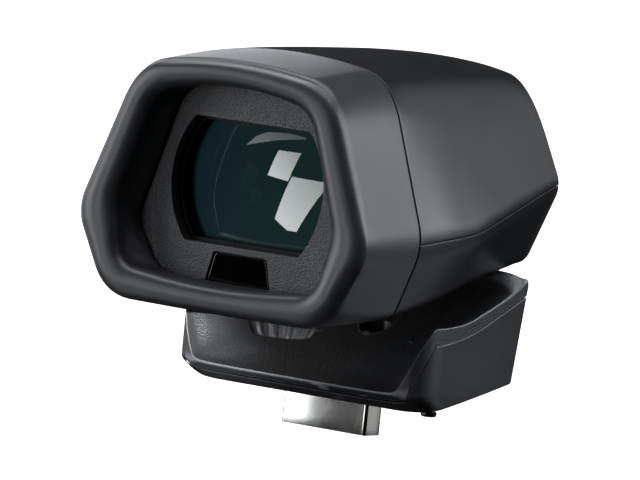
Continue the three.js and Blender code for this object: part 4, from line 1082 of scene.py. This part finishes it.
def lamp(name, az, el, power, width=0.42, height=None, roll=0.0, dist=0.9, color=(1, 1, 1), at=(0, -0.01, 0.03)):
    """A soft panel seen from the object in the direction az, el (degrees), facing it."""
    a, e = math.radians(az), math.radians(el)
    d = Vector((math.cos(e) * math.cos(a), math.cos(e) * math.sin(a), math.sin(e)))
    o = area(name, Vector(at) + d * dist, at, width, power, height, color)
    if roll:
        o.rotation_euler = (o.rotation_euler.to_matrix() @ Matrix.Rotation(math.radians(roll), 3, "Z")).to_euler()
    o.visible_camera = False
    return o


COOL = (0.92, 0.95, 1.0)
lens_clear = bpy.data.collections.new("lens_clear")  # panels that the polished lens doesn't mirror
lens_clear.objects.link(eye_lens)
lens_clear.collection_objects[0].light_linking.link_state = "EXCLUDE"

lamp("key_side", 42, 17, 3.1, color=COOL)
lamp("key_high", 22, 34, 2.9, color=COOL)
lamp("side_high", 78, 22, 0.36, color=COOL)
lamp("key_front", 0, 36, 0.6, color=COOL)
lamp("top_back", 182, 58, 3.3, color=COOL)
lamp("back_high", 152, 34, 0.3)
for o in (
    lamp("front_left", 215, 5, 3.4, 0.42, 0.6, color=COOL),
    lamp("front", 262, 14, 0.7, color=COOL),
):
    o.light_linking.receiver_collection = lens_clear
side_clear = bpy.data.collections.new("side_clear")  # the same, and not the plug either, so that its edges stay dark
side_clear.objects.link(eye_lens)
side_clear.objects.link(plug_shell)
for c in side_clear.collection_objects:
    c.light_linking.link_state = "EXCLUDE"
for o in (
    lamp("left_back", 188, 12, 0.5, color=COOL),
    lamp("left_rear", 172, -3, 0.6, color=COOL),
    lamp("under_left", 222, -32, 0.6),
):
    o.light_linking.receiver_collection = side_clear
eyecup_only = bpy.data.collections.new("eyecup_only")  # a flagged panel for the top of the eyecup
eyecup_only.objects.link(eyecup)
lamp("eyecup_top", 140, 17, 0.85, color=COOL).light_linking.receiver_collection = eyecup_only
base_only = bpy.data.collections.new("base_only")  # a flagged panel for the rim of the wings
base_only.objects.link(cover)
base_only.objects.link(lower_base)
lamp("rim_back", 84, 44, 3.6, color=COOL).light_linking.receiver_collection = base_only
lamp("side_low", 60, -30, 0.3, color=COOL)
lamp("plug_side", 52, -8, 0.06, 0.2)
LENS_AT = (0.0, -0.036, 0.0347)


def pane(name, corners, radiance, dist=0.9):
    """A bright window pane that the lens mirrors; corners are directions (az, el) seen from the lens."""
    me = bpy.data.meshes.new(name)
    me.from_pydata([Vector(LENS_AT) + dist * Vector((math.cos(math.radians(e)) * math.cos(math.radians(a)), math.cos(math.radians(e)) * math.sin(math.radians(a)), math.sin(math.radians(e)))) for a, e in corners], [], [tuple(range(len(corners)))])
    o = link(bpy.data.objects.new(name, me))
    m = material(name, (0, 0, 0), 1.0)
    m.node_tree.nodes["Principled BSDF"].inputs["Emission Color"].default_value = (0.97, 1.0, 1.0, 1)
    tc = node(m, "ShaderNodeTexCoord")
    sp = node(m, "ShaderNodeSeparateXYZ")
    wire(m, tc, "Generated", sp, "Vector")
    ad = node(m, "ShaderNodeMath", operation="ADD")
    m.node_tree.links.new(sp.outputs["X"], ad.inputs[0])
    m.node_tree.links.new(sp.outputs["Z"], ad.inputs[1])
    fade = node(m, "ShaderNodeMapRange")
    fade.inputs["From Min"].default_value, fade.inputs["From Max"].default_value = 0.3, 1.9
    fade.inputs["To Min"].default_value, fade.inputs["To Max"].default_value = radiance * 1.12, radiance * 0.55
    wire(m, ad, "Value", fade, "Value")
    wire(m, fade, "Result", m.node_tree.nodes["Principled BSDF"], "Emission Strength")
    m.node_tree.nodes["Principled BSDF"].inputs["Specular IOR Level"].default_value = 0.0
    wear(o, m)
    o.visible_camera = o.visible_shadow = False


pane("pane_high", [(-119.9, 7.1), (-110.6, 7.6), (-114.0, -1.5), (-122.7, -0.7)], 5.6)
pane("pane_low", [(-112.7, 0.1), (-98.1, -0.2), (-110.5, -16.7), (-114.4, -16.4), (-119.1, -13.3)], 5.8)
pane("pane_crescent", [(-134.3, 6.2), (-131.0, 9.2), (-126.5, 11.3), (-117.6, 12.6), (-110.3, 12.5), (-110.1, 12.0), (-120.7, 10.0)], 1.3)


def snoot(name, az, el, power, spread, at, dist=0.6):
    """A narrow soft spot, for the low side of the saddle under the head."""
    a, e = math.radians(az), math.radians(el)
    d = Vector((math.cos(e) * math.cos(a), math.cos(e) * math.sin(a), math.sin(e)))
    l = bpy.data.lights.new(name, "SPOT")
    l.energy, l.spot_size, l.spot_blend, l.shadow_soft_size = power, math.radians(spread), 1.0, 0.004
    o = link(bpy.data.objects.new(name, l))
    o.location = Vector(at) + d * dist
    o.rotation_euler = (-d).to_track_quat("-Z", "Y").to_euler()


snoot("saddle_low", 337, -1, 95, 2.1, (-0.0255, -0.0155, 0.0055))
sun = bpy.data.lights.new("floor_wash", "SUN")
sun.energy = 2.0
sun.angle = math.radians(60)
so = link(bpy.data.objects.new("floor_wash", sun))
so.rotation_euler = (0, 0, 0)

bpy.context.scene.view_settings.view_transform = "Standard"
